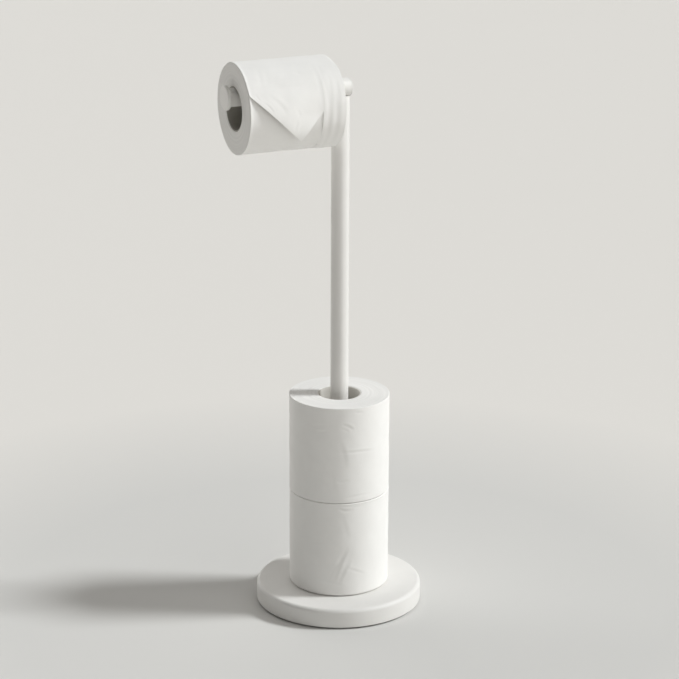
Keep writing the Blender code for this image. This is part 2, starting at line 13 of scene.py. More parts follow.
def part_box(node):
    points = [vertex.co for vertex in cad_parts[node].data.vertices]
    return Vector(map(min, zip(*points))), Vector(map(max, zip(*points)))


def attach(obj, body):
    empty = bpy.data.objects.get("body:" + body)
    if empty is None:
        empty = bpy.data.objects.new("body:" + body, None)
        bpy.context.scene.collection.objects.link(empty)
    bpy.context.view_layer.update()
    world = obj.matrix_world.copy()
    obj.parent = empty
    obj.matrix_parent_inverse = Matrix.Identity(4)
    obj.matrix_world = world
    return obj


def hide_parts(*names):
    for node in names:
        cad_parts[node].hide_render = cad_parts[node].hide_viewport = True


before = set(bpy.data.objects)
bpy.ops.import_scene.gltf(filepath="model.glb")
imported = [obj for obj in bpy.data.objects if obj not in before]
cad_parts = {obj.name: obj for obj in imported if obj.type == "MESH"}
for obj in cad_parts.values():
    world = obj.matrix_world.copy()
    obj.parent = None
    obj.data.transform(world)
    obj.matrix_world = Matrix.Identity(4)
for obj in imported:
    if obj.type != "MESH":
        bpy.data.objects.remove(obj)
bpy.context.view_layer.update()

log = logging.getLogger("paper_holder")

# Metres in a millimetre, and the shading angle past which an edge stays crisp
MM = 0.001
CRISP_DEG = 35.0

# Direction, round the upright, that faces the camera: the middle of what the photograph shows
FACING_DEG = -113.26

# An outline is turned round an axis, and a bend gives its points their final radius and height
Outline = list[tuple[float, float]]
Bent = tuple[np.ndarray, np.ndarray]
Bend = Callable[[np.ndarray, np.ndarray, np.ndarray], Bent]


class Body(Enum):
    """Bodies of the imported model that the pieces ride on."""

    STAND = "stand"
    ARM = "arm"
    HANGING_ROLL = "hanging_roll"
    LOWER_ROLL = "lower_roll"
    UPPER_ROLL = "upper_roll"


class Slot(Enum):
    """The record's material slots that the pieces made here use."""

    PAINT = "white_paint"
    NYLON = "bush_nylon"
    TISSUE = "tissue"
    CARD = "core_card"


class Lay(Enum):
    """How a turned piece's own axis lies in the holder, as a rotation."""

    UPRIGHT = (0.0, 0.0, 0.0)
    ALONG_ARM = (0.0, -math.pi / 2, 0.0)


class Quarter(Enum):
    """Which quarter of a circle a round edge is, as the angles in degrees where it starts and ends."""

    LOW_OUTER = (-90.0, 0.0)
    HIGH_OUTER = (0.0, 90.0)
    HIGH_INNER = (90.0, 180.0)
    LOW_INNER = (180.0, 270.0)
    UNDER_HIGH_OUTER = (90.0, 0.0)


# Shapes


def smooth_step(value: np.ndarray) -> np.ndarray:
    """Eases from 0 to 1 as the value goes from 0 to 1."""
    share = np.clip(value, 0.0, 1.0)
    return share * share * (3.0 - 2.0 * share)


def arc(centre: tuple[float, float], radius: float, quarter: Quarter, steps: int) -> Outline:
    """Points of a round edge in a turned outline.

    Args:
        centre: radius and height of the round edge's own centre.
        radius: how round the edge is.
        quarter: the part of the circle that it is.
        steps: how many chords stand for the edge.

    Returns:
        The points, as radius and height.
    """
    angles = np.radians(np.linspace(*quarter.value, steps + 1))
    return [(centre[0] + radius * math.cos(a), centre[1] + radius * math.sin(a)) for a in angles]


def run(start: tuple[float, float], end: tuple[float, float], step: float) -> Outline:
    """Points between two places of an outline, both left out, spaced evenly.

    Args:
        start: radius and height where the run starts.
        end: radius and height where it ends.
        step: the longest spacing.

    Returns:
        The points in between.
    """
    count = max(1, math.ceil(math.dist(start, end) / step))
    shares = np.linspace(0.0, 1.0, count + 1)[1:-1]
    return [(start[0] + (end[0] - start[0]) * t, start[1] + (end[1] - start[1]) * t) for t in shares]


def add_piece(name: str, points: np.ndarray, faces: list[tuple[int, ...]]) -> bpy.types.Object:
    """Makes a smooth shaded mesh object.

    Args:
        name: the piece's name.
        points: one row of three coordinates for each vertex.
        faces: the corners of each face, seen from outside anticlockwise.

    Returns:
        The object, at the origin.
    """
    mesh = bpy.data.meshes.new(name)
    mesh.from_pydata(points.tolist(), [], faces)
    mesh.update()
    mesh.shade_smooth()
    mesh.set_sharp_from_angle(angle=math.radians(CRISP_DEG))
    piece = bpy.data.objects.new(name, mesh)
    bpy.context.scene.collection.objects.link(piece)
    return piece


def turned(name: str, outline: Outline, angles: np.ndarray, bend: Bend | None = None) -> bpy.types.Object:
    """Turns an outline round Z into a closed piece.

    Args:
        name: the piece's name.
        outline: radius and height of each point, up the outer side, in over the top and down the bore.
            It closes on itself, or starts and ends on the axis.
        angles: where the outline is repeated round the axis, in radians.
        bend: takes the angle, radius and height of every point and gives its radius and height back.

    Returns:
        The object, at the origin.
    """
    solid = outline[0][0] == 0.0
    ring = outline[1:-1] if solid else outline
    radius, angle = np.meshgrid(np.array([p[0] for p in ring]), angles, indexing="ij")
    height = np.repeat(np.array([p[1] for p in ring])[:, None], len(angles), axis=1)
    if bend is not None:
        radius, height = bend(angle, radius, height)
    points = np.stack([radius * np.cos(angle), radius * np.sin(angle), height], axis=-1).reshape(-1, 3)
    rows, columns = len(ring), len(angles)
    faces = []
    for row in range(rows - 1 if solid else rows):
        low, high = row * columns, (row + 1) % rows * columns
        for column in range(columns):
            after = (column + 1) % columns
            faces.append((low + column, low + after, high + after, high + column))
    if solid:
        foot, top, last = len(points), len(points) + 1, (rows - 1) * columns
        points = np.vstack([points, (0.0, 0.0, outline[0][1]), (0.0, 0.0, outline[-1][1])])
        for column in range(columns):
            after = (column + 1) % columns
            faces.append((after, column, foot))
            faces.append((last + column, last + after, top))
    return add_piece(name, points, faces)


def even_angles(count: int) -> np.ndarray:
    """Evenly spaced angles round a full turn."""
    return np.linspace(0.0, math.tau, count, endpoint=False)


def settle(
    piece: bpy.types.Object,
    place: tuple[float, float, float],
    lay: Lay,
    material: bpy.types.Material,
    slot: Slot,
    body: Body,
    *nodes: str,
) -> bpy.types.Object:
    """Puts a piece in its place, dresses it, and hangs it on its body.

    Args:
        piece: the object.
        place: where its own origin goes.
        lay: how its own axis lies.
        material: its finish.
        slot: the record's slot of that finish.
        body: the body it rides on.
        *nodes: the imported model's nodes that it stands for.

    Returns:
        The same object.
    """
    piece.location = place
    piece.rotation_euler = lay.value
    piece.data.materials.append(material)
    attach(piece, body.value)
    if nodes:
        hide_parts(*nodes)
    log.info("%s rides on %s, finish %s, stands for %s", piece.name, body.value, slot.value, list(nodes))
    return piece


# Uneven surfaces of paper


@dataclass(frozen=True)
class SoftWaves:
    """A smooth and repeatable unevenness over a roll's side, summed from seeded waves."""

    seed: int
    height: float
    count: int = 14
    most_round: int = 7
    cycles_along: float = 9.0

    def at(self, angle: np.ndarray, along: np.ndarray) -> np.ndarray:
        """The unevenness at places of the side.

        Args:
            angle: angle round the axis, in radians.
            along: height along the axis, in metres.

        Returns:
            How far the side stands out there, in metres.
        """
        rng = np.random.default_rng(self.seed)
        total = np.zeros(np.broadcast(angle, along).shape)
        for _ in range(self.count):
            turns = int(rng.integers(1, self.most_round + 1))
            cycles = rng.normal(0.0, self.cycles_along)
            phase = rng.uniform(0.0, math.tau)
            total = total + np.cos(turns * angle + math.tau * cycles * along + phase) / (1.0 + turns)
        return self.height * total


@dataclass(frozen=True)
class Crumple:
    """A repeatable crumpling of a roll's side, alike in every direction and calm in places."""

    seed: int
    height: float
    shortest: float = 10.0 * MM
    longest: float = 38.0 * MM
    count: int = 26
    calm: float = 0.5
    calm_level: float = 0.5
    calm_seed_step: int = 7
    calm_count: int = 10
    calm_most_round: int = 5
    calm_cycles_along: float = 14.0

    def at(self, angle: np.ndarray, along: np.ndarray, radius: float) -> np.ndarray:
        """The unevenness at places of the side.

        Args:
            angle: angle round the axis, in radians.
            along: height along the axis, in metres.
            radius: the roll's radius.

        Returns:
            How far the side stands out there, in metres.
        """
        rng = np.random.default_rng(self.seed)
        total = np.zeros(np.broadcast(angle, along).shape)
        for _ in range(self.count):
            length = rng.uniform(self.shortest, self.longest)
            way = rng.uniform(0.0, math.tau)
            turns = round(math.tau * radius / length * math.cos(way))
            cycles = math.sin(way) / length
            phase = rng.uniform(0.0, math.tau)
            wave = np.cos(turns * angle + math.tau * cycles * along + phase)
            total = total + length / self.longest * wave
        seed = self.seed + self.calm_seed_step
        spots = SoftWaves(seed, 1.0, self.calm_count, self.calm_most_round, self.calm_cycles_along)
        still = 1.0 - self.calm * smooth_step(self.calm_level - spots.at(angle, along))
        return self.height * still * total / math.sqrt(self.count / 2)


@dataclass(frozen=True)
class Crease:
    """A soft fold line on the side of a roll, with a lip along one of its edges.

    Angles are in degrees round the roll's axis, and heights are shares of the roll's length. The lip's
    place and spread are shares of the crease's width.
    """

    start: tuple[float, float]
    end: tuple[float, float]
    depth: float
    width: float = 1.1 * MM
    bow: float = 0.0
    lip: float = 0.55
    lip_place_share: float = 1.6
    lip_spread_share: float = 0.8
    fade_power: float = 0.7

    def at(self, angle: np.ndarray, along: np.ndarray, radius: float, length: float) -> np.ndarray:
        """How far the crease moves the side in or out.

        Args:
            angle: angle round the axis, in radians.
            along: height along the axis, in metres.
            radius: the roll's radius.
            length: the roll's length.

        Returns:
            The offset at each place, in metres.
        """
        middle = math.radians((self.start[0] + self.end[0]) / 2)
        level = (self.start[1] + self.end[1]) / 2 * length
        reach = np.array([
            math.radians(self.end[0] - self.start[0]) * radius,
            (self.end[1] - self.start[1]) * length,
        ]) / 2
        half = float(np.linalg.norm(reach))
        way = reach / half
        around = (np.mod(angle - middle + math.pi, math.tau) - math.pi) * radius
        rise = along - level
        on = (around * way[0] + rise * way[1]) / half
        across = (rise * way[0] - around * way[1] + self.bow * on**2) / self.width
        fade = np.clip(1.0 - on**2, 0.0, 1.0) ** self.fade_power
        lip = self.lip * np.exp(-((across - self.lip_place_share) ** 2) / self.lip_spread_share)
        return self.depth * fade * (lip - np.exp(-(across**2)))


@dataclass(frozen=True)
class StrayCreases:
    """Seeded creases for the stretch of a roll's side that the photograph doesn't show.

    Pairs are the least and the most of a value, angles are in degrees, and levels and slopes are shares
    of the roll's length.
    """

    seed: int
    count: int
    stretch_deg: tuple[float, float]
    level_shares: tuple[float, float] = (0.08, 0.92)
    sweep_deg: tuple[float, float] = (6.0, 24.0)
    slope_share: float = 0.05
    depth: tuple[float, float] = (0.12 * MM, 0.42 * MM)
    width: tuple[float, float] = (1.1 * MM, 2.1 * MM)
    bow: float = 1.2 * MM

    def creases(self) -> list[Crease]:
        """The creases, the same ones each time."""
        rng = np.random.default_rng(self.seed)
        found = []
        for _ in range(self.count):
            angle = rng.uniform(*self.stretch_deg)
            level = rng.uniform(*self.level_shares)
            sweep = rng.uniform(*self.sweep_deg)
            slope = rng.normal(0.0, self.slope_share)
            depth = rng.uniform(*self.depth)
            width = rng.uniform(*self.width)
            bow = rng.normal(0.0, self.bow)
            found.append(Crease((angle, level), (angle + sweep, level + slope), depth, width, bow))
        return found


@dataclass(frozen=True)
class LooseRim:
    """The last turns' edge at a roll's high end, which stands out and up where they have come loose."""

    flare: float = 0.0
    reach: float = 3.0 * MM
    bead: float = 0.0
    bead_width: float = 1.1 * MM
    middle_deg: float = -60.0
    fade: float = 0.5

    def share(self, angle: np.ndarray) -> np.ndarray:
        """How loose the edge is at an angle, from 0 to 1."""
        return (0.5 + 0.5 * np.cos(angle - math.radians(self.middle_deg))) ** self.fade


@dataclass
class WoundPaper:
    """The outside of a roll of wound paper: its side, its two rims and its two faces.

    Rows are the spacing of the mesh's points up the side, across the faces and just inside the top rim.
    """

    radius: float
    length: float
    bore: float
    seed: int
    low_rim: float = 1.6 * MM
    high_rim: float = 1.6 * MM
    rim_steps: int = 6
    lip: float = 0.8 * MM
    lip_steps: int = 3
    row: float = 0.95 * MM
    face_row: float = 1.9 * MM
    rim_row: float = 0.5 * MM
    rim_row_reach: float = 4.0 * MM
    columns: int = 320
    tail_step: float = 0.28 * MM
    tail_slope: float = 0.06 * MM
    tail_deg: float = 60.0
    sway: float = 0.05 * MM
    crumple: float = 0.11 * MM
    face_waves: float = 0.10 * MM
    face_wave_count: int = 9
    face_wave_spacing: tuple[float, float] = (3.0 * MM, 14.0 * MM)
    face_wave_turns: int = 4
    face_seed_step: int = 50
    rim_zone: float = 3.0 * MM
    bore_zone: float = 2.0 * MM
    rim_calm: float = 0.6
    bead_place_share: float = 0.8
    loose: LooseRim = LooseRim()
    swell: float = 0.0
    creases: list[Crease] = field(default_factory=list)

    def outline(self) -> Outline:
        """The paper's section, up the side, in over the top, down the bore and out underneath."""
        outer, inner, high = self.radius, self.bore, self.length
        low_in, low_out = (inner + self.lip, 0.0), (outer - self.low_rim, 0.0)
        side_low, side_high = (outer, self.low_rim), (outer, high - self.high_rim)
        top_out, top_in = (outer - self.high_rim, high), (inner + self.lip, high)
        points = [low_in, *run(low_in, low_out, self.face_row)]
        points += arc((low_out[0], self.low_rim), self.low_rim, Quarter.LOW_OUTER, self.rim_steps)
        points += run(side_low, side_high, self.row)
        points += arc((top_out[0], side_high[1]), self.high_rim, Quarter.HIGH_OUTER, self.rim_steps)
        middle = (top_out[0] - self.rim_row_reach, high)
        points += [*run(top_out, middle, self.rim_row), middle, *run(middle, top_in, self.face_row)]
        points += arc((top_in[0], high - self.lip), self.lip, Quarter.HIGH_INNER, self.lip_steps)
        points += arc((low_in[0], self.lip), self.lip, Quarter.LOW_INNER, self.lip_steps)[:-1]
        return points

    def angles(self) -> np.ndarray:
        """Columns round the roll, with two close ones where the last sheet ends."""
        tail = math.radians(self.tail_deg) % math.tau
        close = self.tail_slope / self.radius
        return np.sort(np.append(even_angles(self.columns), [tail - close, tail + close]))

    def side_offset(self, angle: np.ndarray, along: np.ndarray) -> np.ndarray:
        """How far the side stands out from a true cylinder.

        Args:
            angle: angle round the axis, in radians.
            along: height along the axis, in metres.

        Returns:
            The offset at each place, in metres.
        """
        turn = np.mod(angle - math.radians(self.tail_deg), math.tau) / math.tau
        offset = self.swell + self.tail_step * (turn - 1.0)
        offset = offset + SoftWaves(self.seed, self.sway).at(angle, along)
        offset = offset + Crumple(self.seed + 1, self.crumple).at(angle, along, self.radius)
        near_end = smooth_step((along - self.length + self.loose.reach) / self.loose.reach)
        offset = offset + self.loose.flare * self.loose.share(angle) * near_end
        for crease in self.creases:
            offset = offset + crease.at(angle, along, self.radius, self.length)
        return offset

    def rim_drop(self, along: np.ndarray) -> np.ndarray:
        """How far the round rims fall in from the side at a height."""
        low = np.clip(1.0 - along / self.low_rim, 0.0, 1.0)
        high = np.clip(1.0 - (self.length - along) / self.high_rim, 0.0, 1.0)
        return self.low_rim * (1 - np.sqrt(1 - low**2)) + self.high_rim * (1 - np.sqrt(1 - high**2))

    def side_radius(self, angle: np.ndarray, along: np.ndarray) -> np.ndarray:
        """Radius of the paper's side, with its rims and its unevenness."""
        return self.radius - self.rim_drop(along) + self.side_offset(angle, along)

    def face_offset(self, angle: np.ndarray, radius: np.ndarray, side: int) -> np.ndarray:
        """How far the turns' edges stand out of an end face.

        Args:
            angle: angle round the axis, in radians.
            radius: distance from the axis.
            side: 0 for the low face and 1 for the high one.

        Returns:
            The offset at each place, in metres.
        """
        rng = np.random.default_rng(self.seed + self.face_seed_step + side)
        total = np.zeros(angle.shape)
        for _ in range(self.face_wave_count):
            spacing = rng.uniform(*self.face_wave_spacing)
            turns = int(rng.integers(0, self.face_wave_turns))
            phase = rng.uniform(0.0, math.tau)
            total = total + np.cos(math.tau * radius / spacing + turns * angle + phase)
        return self.face_waves * total / math.sqrt(self.face_wave_count)

    def bend(self, angle: np.ndarray, radius: np.ndarray, height: np.ndarray) -> Bent:
        """Gives the plain section its unevenness.

        Args:
            angle: angle of every point.
            radius: its radius in the plain section.
            height: its height in the plain section.

        Returns:
            Its radius and height with the unevenness.
        """
        zone = self.rim_zone
        outward = smooth_step((radius - self.radius + zone) / zone)
        new_radius = radius + outward * self.side_offset(angle, height)
        on_face = smooth_step((radius - self.bore) / self.bore_zone) * (1.0 - self.rim_calm * outward)
        low_side = smooth_step((zone - height) / zone)
        high_side = smooth_step((height - self.length + zone) / zone)
        new_height = height - on_face * low_side * self.face_offset(angle, radius, 0)
        new_height = new_height + on_face * high_side * self.face_offset(angle, radius, 1)
        from_bead = radius - self.radius + self.bead_place_share * self.high_rim
        ring = np.exp(-((from_bead / self.loose.bead_width) ** 2))
        return new_radius, new_height + self.loose.bead * self.loose.share(angle) * high_side * ring

    def build(self, name: str) -> bpy.types.Object:
        """Makes the paper's mesh, standing on its low face."""
        return turned(name, self.outline(), self.angles(), self.bend)


# Finishes


# Numbers of a Mix node's colour sockets: the two colours, and the result
MIX_FIRST = 6
MIX_SECOND = 7
MIX_RESULT = 2


@dataclass(frozen=True)
class NodeBench:
    """Places and joins the nodes of one material or group."""

    tree: bpy.types.NodeTree

    def add(self, kind: str, **settings: object) -> bpy.types.Node:
        """Places a node.

        Args:
            kind: Blender's name of the node.
            **settings: its properties, such as operation.

        Returns:
            The node.
        """
        node = self.tree.nodes.new(kind)
        for key, value in settings.items():
            setattr(node, key, value)
        return node

    def feed(self, socket: bpy.types.NodeSocket, value: object) -> None:
        """Joins an output to a socket, or sets the socket to a plain value."""
        if isinstance(value, bpy.types.NodeSocket):
            self.tree.links.new(value, socket)
        else:
            socket.default_value = value

    def sum(self, operation: str, first: object, second: object = 0.0) -> bpy.types.NodeSocket:
        """Places a Math node and gives its output.

        Args:
            operation: the node's operation.
            first: an output or a number.
            second: an output or a number.

        Returns:
            The result's socket.
        """
        node = self.add("ShaderNodeMath", operation=operation)
        self.feed(node.inputs[0], first)
        self.feed(node.inputs[1], second)
        return node.outputs[0]

    def span(
        self, value: object, low: float, high: float, to_low: float = 0.0, to_high: float = 1.0
    ) -> bpy.types.NodeSocket:
        """Maps one range of values onto another.

        Args:
            value: the output that is mapped.
            low: start of its range.
            high: end of its range.
            to_low: what the start becomes.
            to_high: what the end becomes.

        Returns:
            The mapped value's socket.
        """
        node = self.add("ShaderNodeMapRange")
        self.feed(node.inputs["Value"], value)
        for key, number in zip(("From Min", "From Max", "To Min", "To Max"), (low, high, to_low, to_high)):
            node.inputs[key].default_value = number
        return node.outputs["Result"]

    def noise(self, place: object, scale: object, detail: float, rough: float = 0.5) -> bpy.types.NodeSocket:
        """Places a Noise Texture.

        Args:
            place: the output that gives the coordinates.
            scale: how many cells of grain a metre has.
            detail: how many finer layers it has.
            rough: how strong they are.

        Returns:
            Its value's socket.
        """
        node = self.add("ShaderNodeTexNoise")
        self.feed(node.inputs["Vector"], place)
        self.feed(node.inputs["Scale"], scale)
        node.inputs["Detail"].default_value = detail
        node.inputs["Roughness"].default_value = rough
        return node.outputs["Fac"]

    def stretch(self, place: object, scale: tuple[float, float, float]) -> bpy.types.NodeSocket:
        """Multiplies coordinates by a factor for each axis."""
        node = self.add("ShaderNodeVectorMath", operation="MULTIPLY")
        self.feed(node.inputs[0], place)
        node.inputs[1].default_value = scale
        return node.outputs[0]

    def blend(self, share: object, first: object, second: object) -> bpy.types.NodeSocket:
        """Mixes two colours.

        Args:
            share: how much of the second one there is.
            first: an output or a colour.
            second: an output or a colour.

        Returns:
            The colour's socket.
        """
        node = self.add("ShaderNodeMix", data_type="RGBA")
        self.feed(node.inputs[0], share)
        self.feed(node.inputs[MIX_FIRST], first)
        self.feed(node.inputs[MIX_SECOND], second)
        return node.outputs[MIX_RESULT]

    def group(self, tree: bpy.types.NodeTree, **values: object) -> bpy.types.Node:
        """Places a node group with its own values."""
        node = self.add("ShaderNodeGroup")
        node.node_tree = tree
        for key, value in values.items():
            self.feed(node.inputs[key.replace("_", " ").title()], value)
        return node


def new_group(
    name: str, inputs: dict[str, str], outputs: dict[str, str]
) -> tuple[NodeBench, bpy.types.Node, bpy.types.Node]:
    """Starts a shader node group.

    Args:
        name: the group's name.
        inputs: name and kind of each input.
        outputs: name and kind of each output.

    Returns:
        Its bench, its input node and its output node.
    """
    tree = bpy.data.node_groups.new(name, "ShaderNodeTree")
    for way, sockets in (("INPUT", inputs), ("OUTPUT", outputs)):
        for label, kind in sockets.items():
            tree.interface.new_socket(label, in_out=way, socket_type=kind)
    bench = NodeBench(tree)
    return bench, bench.add("NodeGroupInput"), bench.add("NodeGroupOutput")


VALUE = "NodeSocketFloat"
VECTOR = "NodeSocketVector"


class Effects:
    """Node groups that several finishes share, each built when it is first used."""

    _made: dict[str, bpy.types.NodeTree] = {}

    # Detail and roughness of each noise, and the part of its values that is spread out from 0 to 1
    FINE_NOISE = (3.0, 0.55)
    CLOUD_NOISE = (3.0, 0.6)
    FIBRE_NOISE = (3.0, 0.6)
    CREPE_NOISE = (1.0, 0.4)
    TONE_NOISE = (4.0, 0.65)
    PLAIN_DETAIL = 1.0
    FINE_RANGE = (0.25, 0.75)
    WIDE_RANGE = (0.3, 0.7)

    # How fibres and crepe lines are drawn out along the roll, the fibres' share of the relief, and how many
    # cells of slow change a metre has
    FIBRE_STRETCH = (1.0, 1.0, 0.3)
    CREPE_STRETCH = (1.0, 1.0, 0.12)
    FIBRE_SHARE = 0.6
    PAPER_CLOUD_CELLS = 70.0

    # How many cells of wander a metre has and how far the turns' edges wander in them, the number of turns
    # in a narrow and in a wide ring, and how squarely a surface faces along the roll to be an end face
    WANDER_CELLS = 60.0
    WANDER = 1.2 * MM
    RING_TURNS = (1.0, 6.0)
    FACE_RANGE = (0.75, 0.95)

    @classmethod
    def grain(cls) -> bpy.types.NodeTree:
        """Even fine grain of a sprayed, cast or moulded surface, and slow changes of its tone."""
        if "grain" not in cls._made:
            bench, given, out = new_group(
                "surface grain",
                {"Place": VECTOR, "Size": VALUE, "Cloud": VALUE},
                {"Height": VALUE, "Tone": VALUE},
            )
            cells = bench.sum("DIVIDE", 1.0, given.outputs["Size"])
            fine = bench.noise(given.outputs["Place"], cells, *cls.FINE_NOISE)
            clouds = bench.sum("DIVIDE", 1.0, given.outputs["Cloud"])
            slow = bench.noise(given.outputs["Place"], clouds, *cls.CLOUD_NOISE)
            bench.feed(out.inputs["Height"], bench.span(fine, *cls.FINE_RANGE))
            bench.feed(out.inputs["Tone"], bench.span(slow, *cls.WIDE_RANGE))
            cls._made["grain"] = bench.tree
        return cls._made["grain"]

    @classmethod
    def fibre(cls) -> bpy.types.NodeTree:
        """Short paper fibres that lie along the roll, with fine crepe lines across them."""
        if "fibre" not in cls._made:
            bench, given, out = new_group(
                "paper fibre",
                {"Place": VECTOR, "Width": VALUE, "Crepe": VALUE},
                {"Height": VALUE, "Tone": VALUE},
            )
            place = given.outputs["Place"]
            layers = []
            for size, stretch, noise, share in (
                ("Width", cls.FIBRE_STRETCH, cls.FIBRE_NOISE, cls.FIBRE_SHARE),
                ("Crepe", cls.CREPE_STRETCH, cls.CREPE_NOISE, 1.0 - cls.FIBRE_SHARE),
            ):
                cells = bench.sum("DIVIDE", 1.0, given.outputs[size])
                layer = bench.noise(bench.stretch(place, stretch), cells, *noise)
                layers.append(bench.sum("MULTIPLY", layer, share))
            height = bench.sum("ADD", *layers)
            slow = bench.noise(place, cls.PAPER_CLOUD_CELLS, *cls.TONE_NOISE)
            bench.feed(out.inputs["Height"], bench.span(height, *cls.WIDE_RANGE))
            bench.feed(out.inputs["Tone"], bench.span(slow, *cls.WIDE_RANGE))
            cls._made["fibre"] = bench.tree
        return cls._made["fibre"]

    @classmethod
    def turns(cls) -> bpy.types.NodeTree:
        """Edges of the wound turns on an end face, as rings round the roll's axis."""
        if "turns" not in cls._made:
            bench, given, out = new_group(
                "edges of the turns",
                {"Place": VECTOR, "Facing": VECTOR, "Turn": VALUE},
                {"Height": VALUE, "Tone": VALUE, "Face": VALUE},
            )
            parts = bench.add("ShaderNodeSeparateXYZ")
            bench.feed(parts.inputs[0], given.outputs["Place"])
            squares = [bench.sum("MULTIPLY", parts.outputs[i], parts.outputs[i]) for i in (0, 1)]
            radius = bench.sum("SQRT", bench.sum("ADD", *squares))
            drift = bench.noise(given.outputs["Place"], cls.WANDER_CELLS, cls.PLAIN_DETAIL)
            wander = bench.sum("ADD", radius, bench.sum("MULTIPLY", drift, cls.WANDER))
            levels = []
            for turns in cls.RING_TURNS:
                ring = bench.add("ShaderNodeTexNoise", noise_dimensions="1D")
                bench.feed(ring.inputs["W"], bench.sum("DIVIDE", wander, given.outputs["Turn"]))
                ring.inputs["Scale"].default_value = 1.0 / turns
                ring.inputs["Detail"].default_value = cls.PLAIN_DETAIL
                levels.append(ring.outputs["Fac"])
            facing = bench.add("ShaderNodeSeparateXYZ")
            bench.feed(facing.inputs[0], given.outputs["Facing"])
            face = bench.span(bench.sum("ABSOLUTE", facing.outputs[2]), *cls.FACE_RANGE)
            halves = [bench.sum("MULTIPLY", level, 1.0 / len(levels)) for level in levels]
            height = bench.sum("ADD", *halves)
            bench.feed(out.inputs["Height"], bench.sum("MULTIPLY", height, face))
            tone = bench.span(levels[1], *cls.WIDE_RANGE)
            bench.feed(out.inputs["Tone"], bench.sum("MULTIPLY", tone, face))
            bench.feed(out.inputs["Face"], face)
            cls._made["turns"] = bench.tree
        return cls._made["turns"]


Colour = tuple[float, float, float]


def shade(colour: Colour, factor: float = 1.0) -> tuple[float, float, float, float]:
    """A colour with full alpha, made darker or lighter by a factor."""
    return (colour[0] * factor, colour[1] * factor, colour[2] * factor, 1.0)


@dataclass(frozen=True)
class Finish:
    """What every finish has: a name, a main colour, how rough it is, how that changes, and its gloss."""

    name: str
    colour: Colour
    roughness: float
    metallic: float = 0.0
    rough_change: float = 0.05
    specular: float = 0.5

    def start(self) -> tuple[NodeBench, bpy.types.Node, bpy.types.Node]:
        """Starts the material.

        Returns:
            Its bench, its Principled shader and its coordinates node.
        """
        material = bpy.data.materials.new(self.name)
        material.use_nodes = True
        material.diffuse_color = shade(self.colour)
        bench = NodeBench(material.node_tree)
        shader = material.node_tree.nodes["Principled BSDF"]
        shader.inputs["Metallic"].default_value = self.metallic
        return bench, shader, bench.add("ShaderNodeTexCoord")

    def material(self) -> bpy.types.Material:
        """The finish as a material, made once and then shared."""
        made = bpy.data.materials.get(self.name)
        return made or self.make()

    def make(self) -> bpy.types.Material:
        """Builds the material."""
        raise NotImplementedError

    def dress(self, bench: NodeBench, shader: bpy.types.Node, colour: object, tone: object) -> None:
        """Gives the shader its colour and gloss, and a roughness that follows a tone.

        Args:
            bench: the material's bench.
            shader: its Principled shader.
            colour: the output that gives the colour.
            tone: the output that gives the tone, from 0 to 1.
        """
        low, high = self.roughness - self.rough_change, self.roughness + self.rough_change
        bench.feed(shader.inputs["Base Color"], colour)
        bench.feed(shader.inputs["Roughness"], bench.span(tone, 0.0, 1.0, low, high))
        shader.inputs["Specular IOR Level"].default_value = self.specular


def raise_bump(bench: NodeBench, shader: bpy.types.Node, height: object, depth: float) -> None:
    """Gives a shader the relief of a height.

    Args:
        bench: the material's bench.
        shader: its Principled shader.
        height: the output that gives the height, from 0 to 1.
        depth: the relief from lowest to highest, in metres.
    """
    bump = bench.add("ShaderNodeBump")
    bump.inputs["Strength"].default_value = 1.0
    bump.inputs["Distance"].default_value = depth
    bench.feed(bump.inputs["Height"], height)
    bench.feed(shader.inputs["Normal"], bump.outputs["Normal"])


@dataclass(frozen=True)
class GrainedFinish(Finish):
    """A sprayed, cast, plated or moulded finish: even grain, and slow changes of tone and roughness."""

    grain: float = 0.9 * MM
    cloud: float = 30.0 * MM
    relief: float = 0.012 * MM
    tone_change: float = 0.97
    rough_change: float = 0.06

    def make(self) -> bpy.types.Material:
        """Builds the material."""
        bench, shader, place = self.start()
        spot = place.outputs["Object"]
        grain = bench.group(Effects.grain(), place=spot, size=self.grain, cloud=self.cloud)
        tone = bench.blend(grain.outputs["Tone"], shade(self.colour), shade(self.colour, self.tone_change))
        self.dress(bench, shader, tone, grain.outputs["Tone"])
        raise_bump(bench, shader, grain.outputs["Height"], self.relief)
        return bpy.data.materials[self.name]


@dataclass(frozen=True)
class TissueFinish(Finish):
    """Soft white paper: fibres and crepe on its side; on its ends, the turns' edges and painted shade between
    them.
    """

    fibre: float = 0.45 * MM
    crepe: float = 0.7 * MM
    turn: float = 0.35 * MM
    relief: float = 0.02 * MM
    face_relief: float = 0.06 * MM
    tone_change: float = 0.975
    # Painted shade on the end faces: how much darker they are overall, and how much darker in rings
    end_shade_tone: float = 0.985
    ring_shade_change: float = 0.955
    rough_change: float = 0.04
    specular: float = 0.2

    def make(self) -> bpy.types.Material:
        """Builds the material."""
        bench, shader, place = self.start()
        spot = place.outputs["Object"]
        fibre = bench.group(Effects.fibre(), place=spot, width=self.fibre, crepe=self.crepe)
        turns = bench.group(Effects.turns(), place=spot, facing=place.outputs["Normal"], turn=self.turn)
        tone = bench.blend(fibre.outputs["Tone"], shade(self.colour), shade(self.colour, self.tone_change))
        # Painted shade between the turns: end faces darker overall, and darker still in rings
        ends = bench.blend(turns.outputs["Face"], tone, shade(self.colour, self.end_shade_tone))
        ring_shade = shade(self.colour, self.end_shade_tone * self.ring_shade_change)
        ringed = bench.blend(turns.outputs["Tone"], ends, ring_shade)
        self.dress(bench, shader, ringed, fibre.outputs["Tone"])
        side = bench.sum("MULTIPLY", fibre.outputs["Height"], self.relief / self.face_relief)
        height = bench.sum("ADD", side, turns.outputs["Height"])
        raise_bump(bench, shader, height, self.face_relief)
        return bpy.data.materials[self.name]


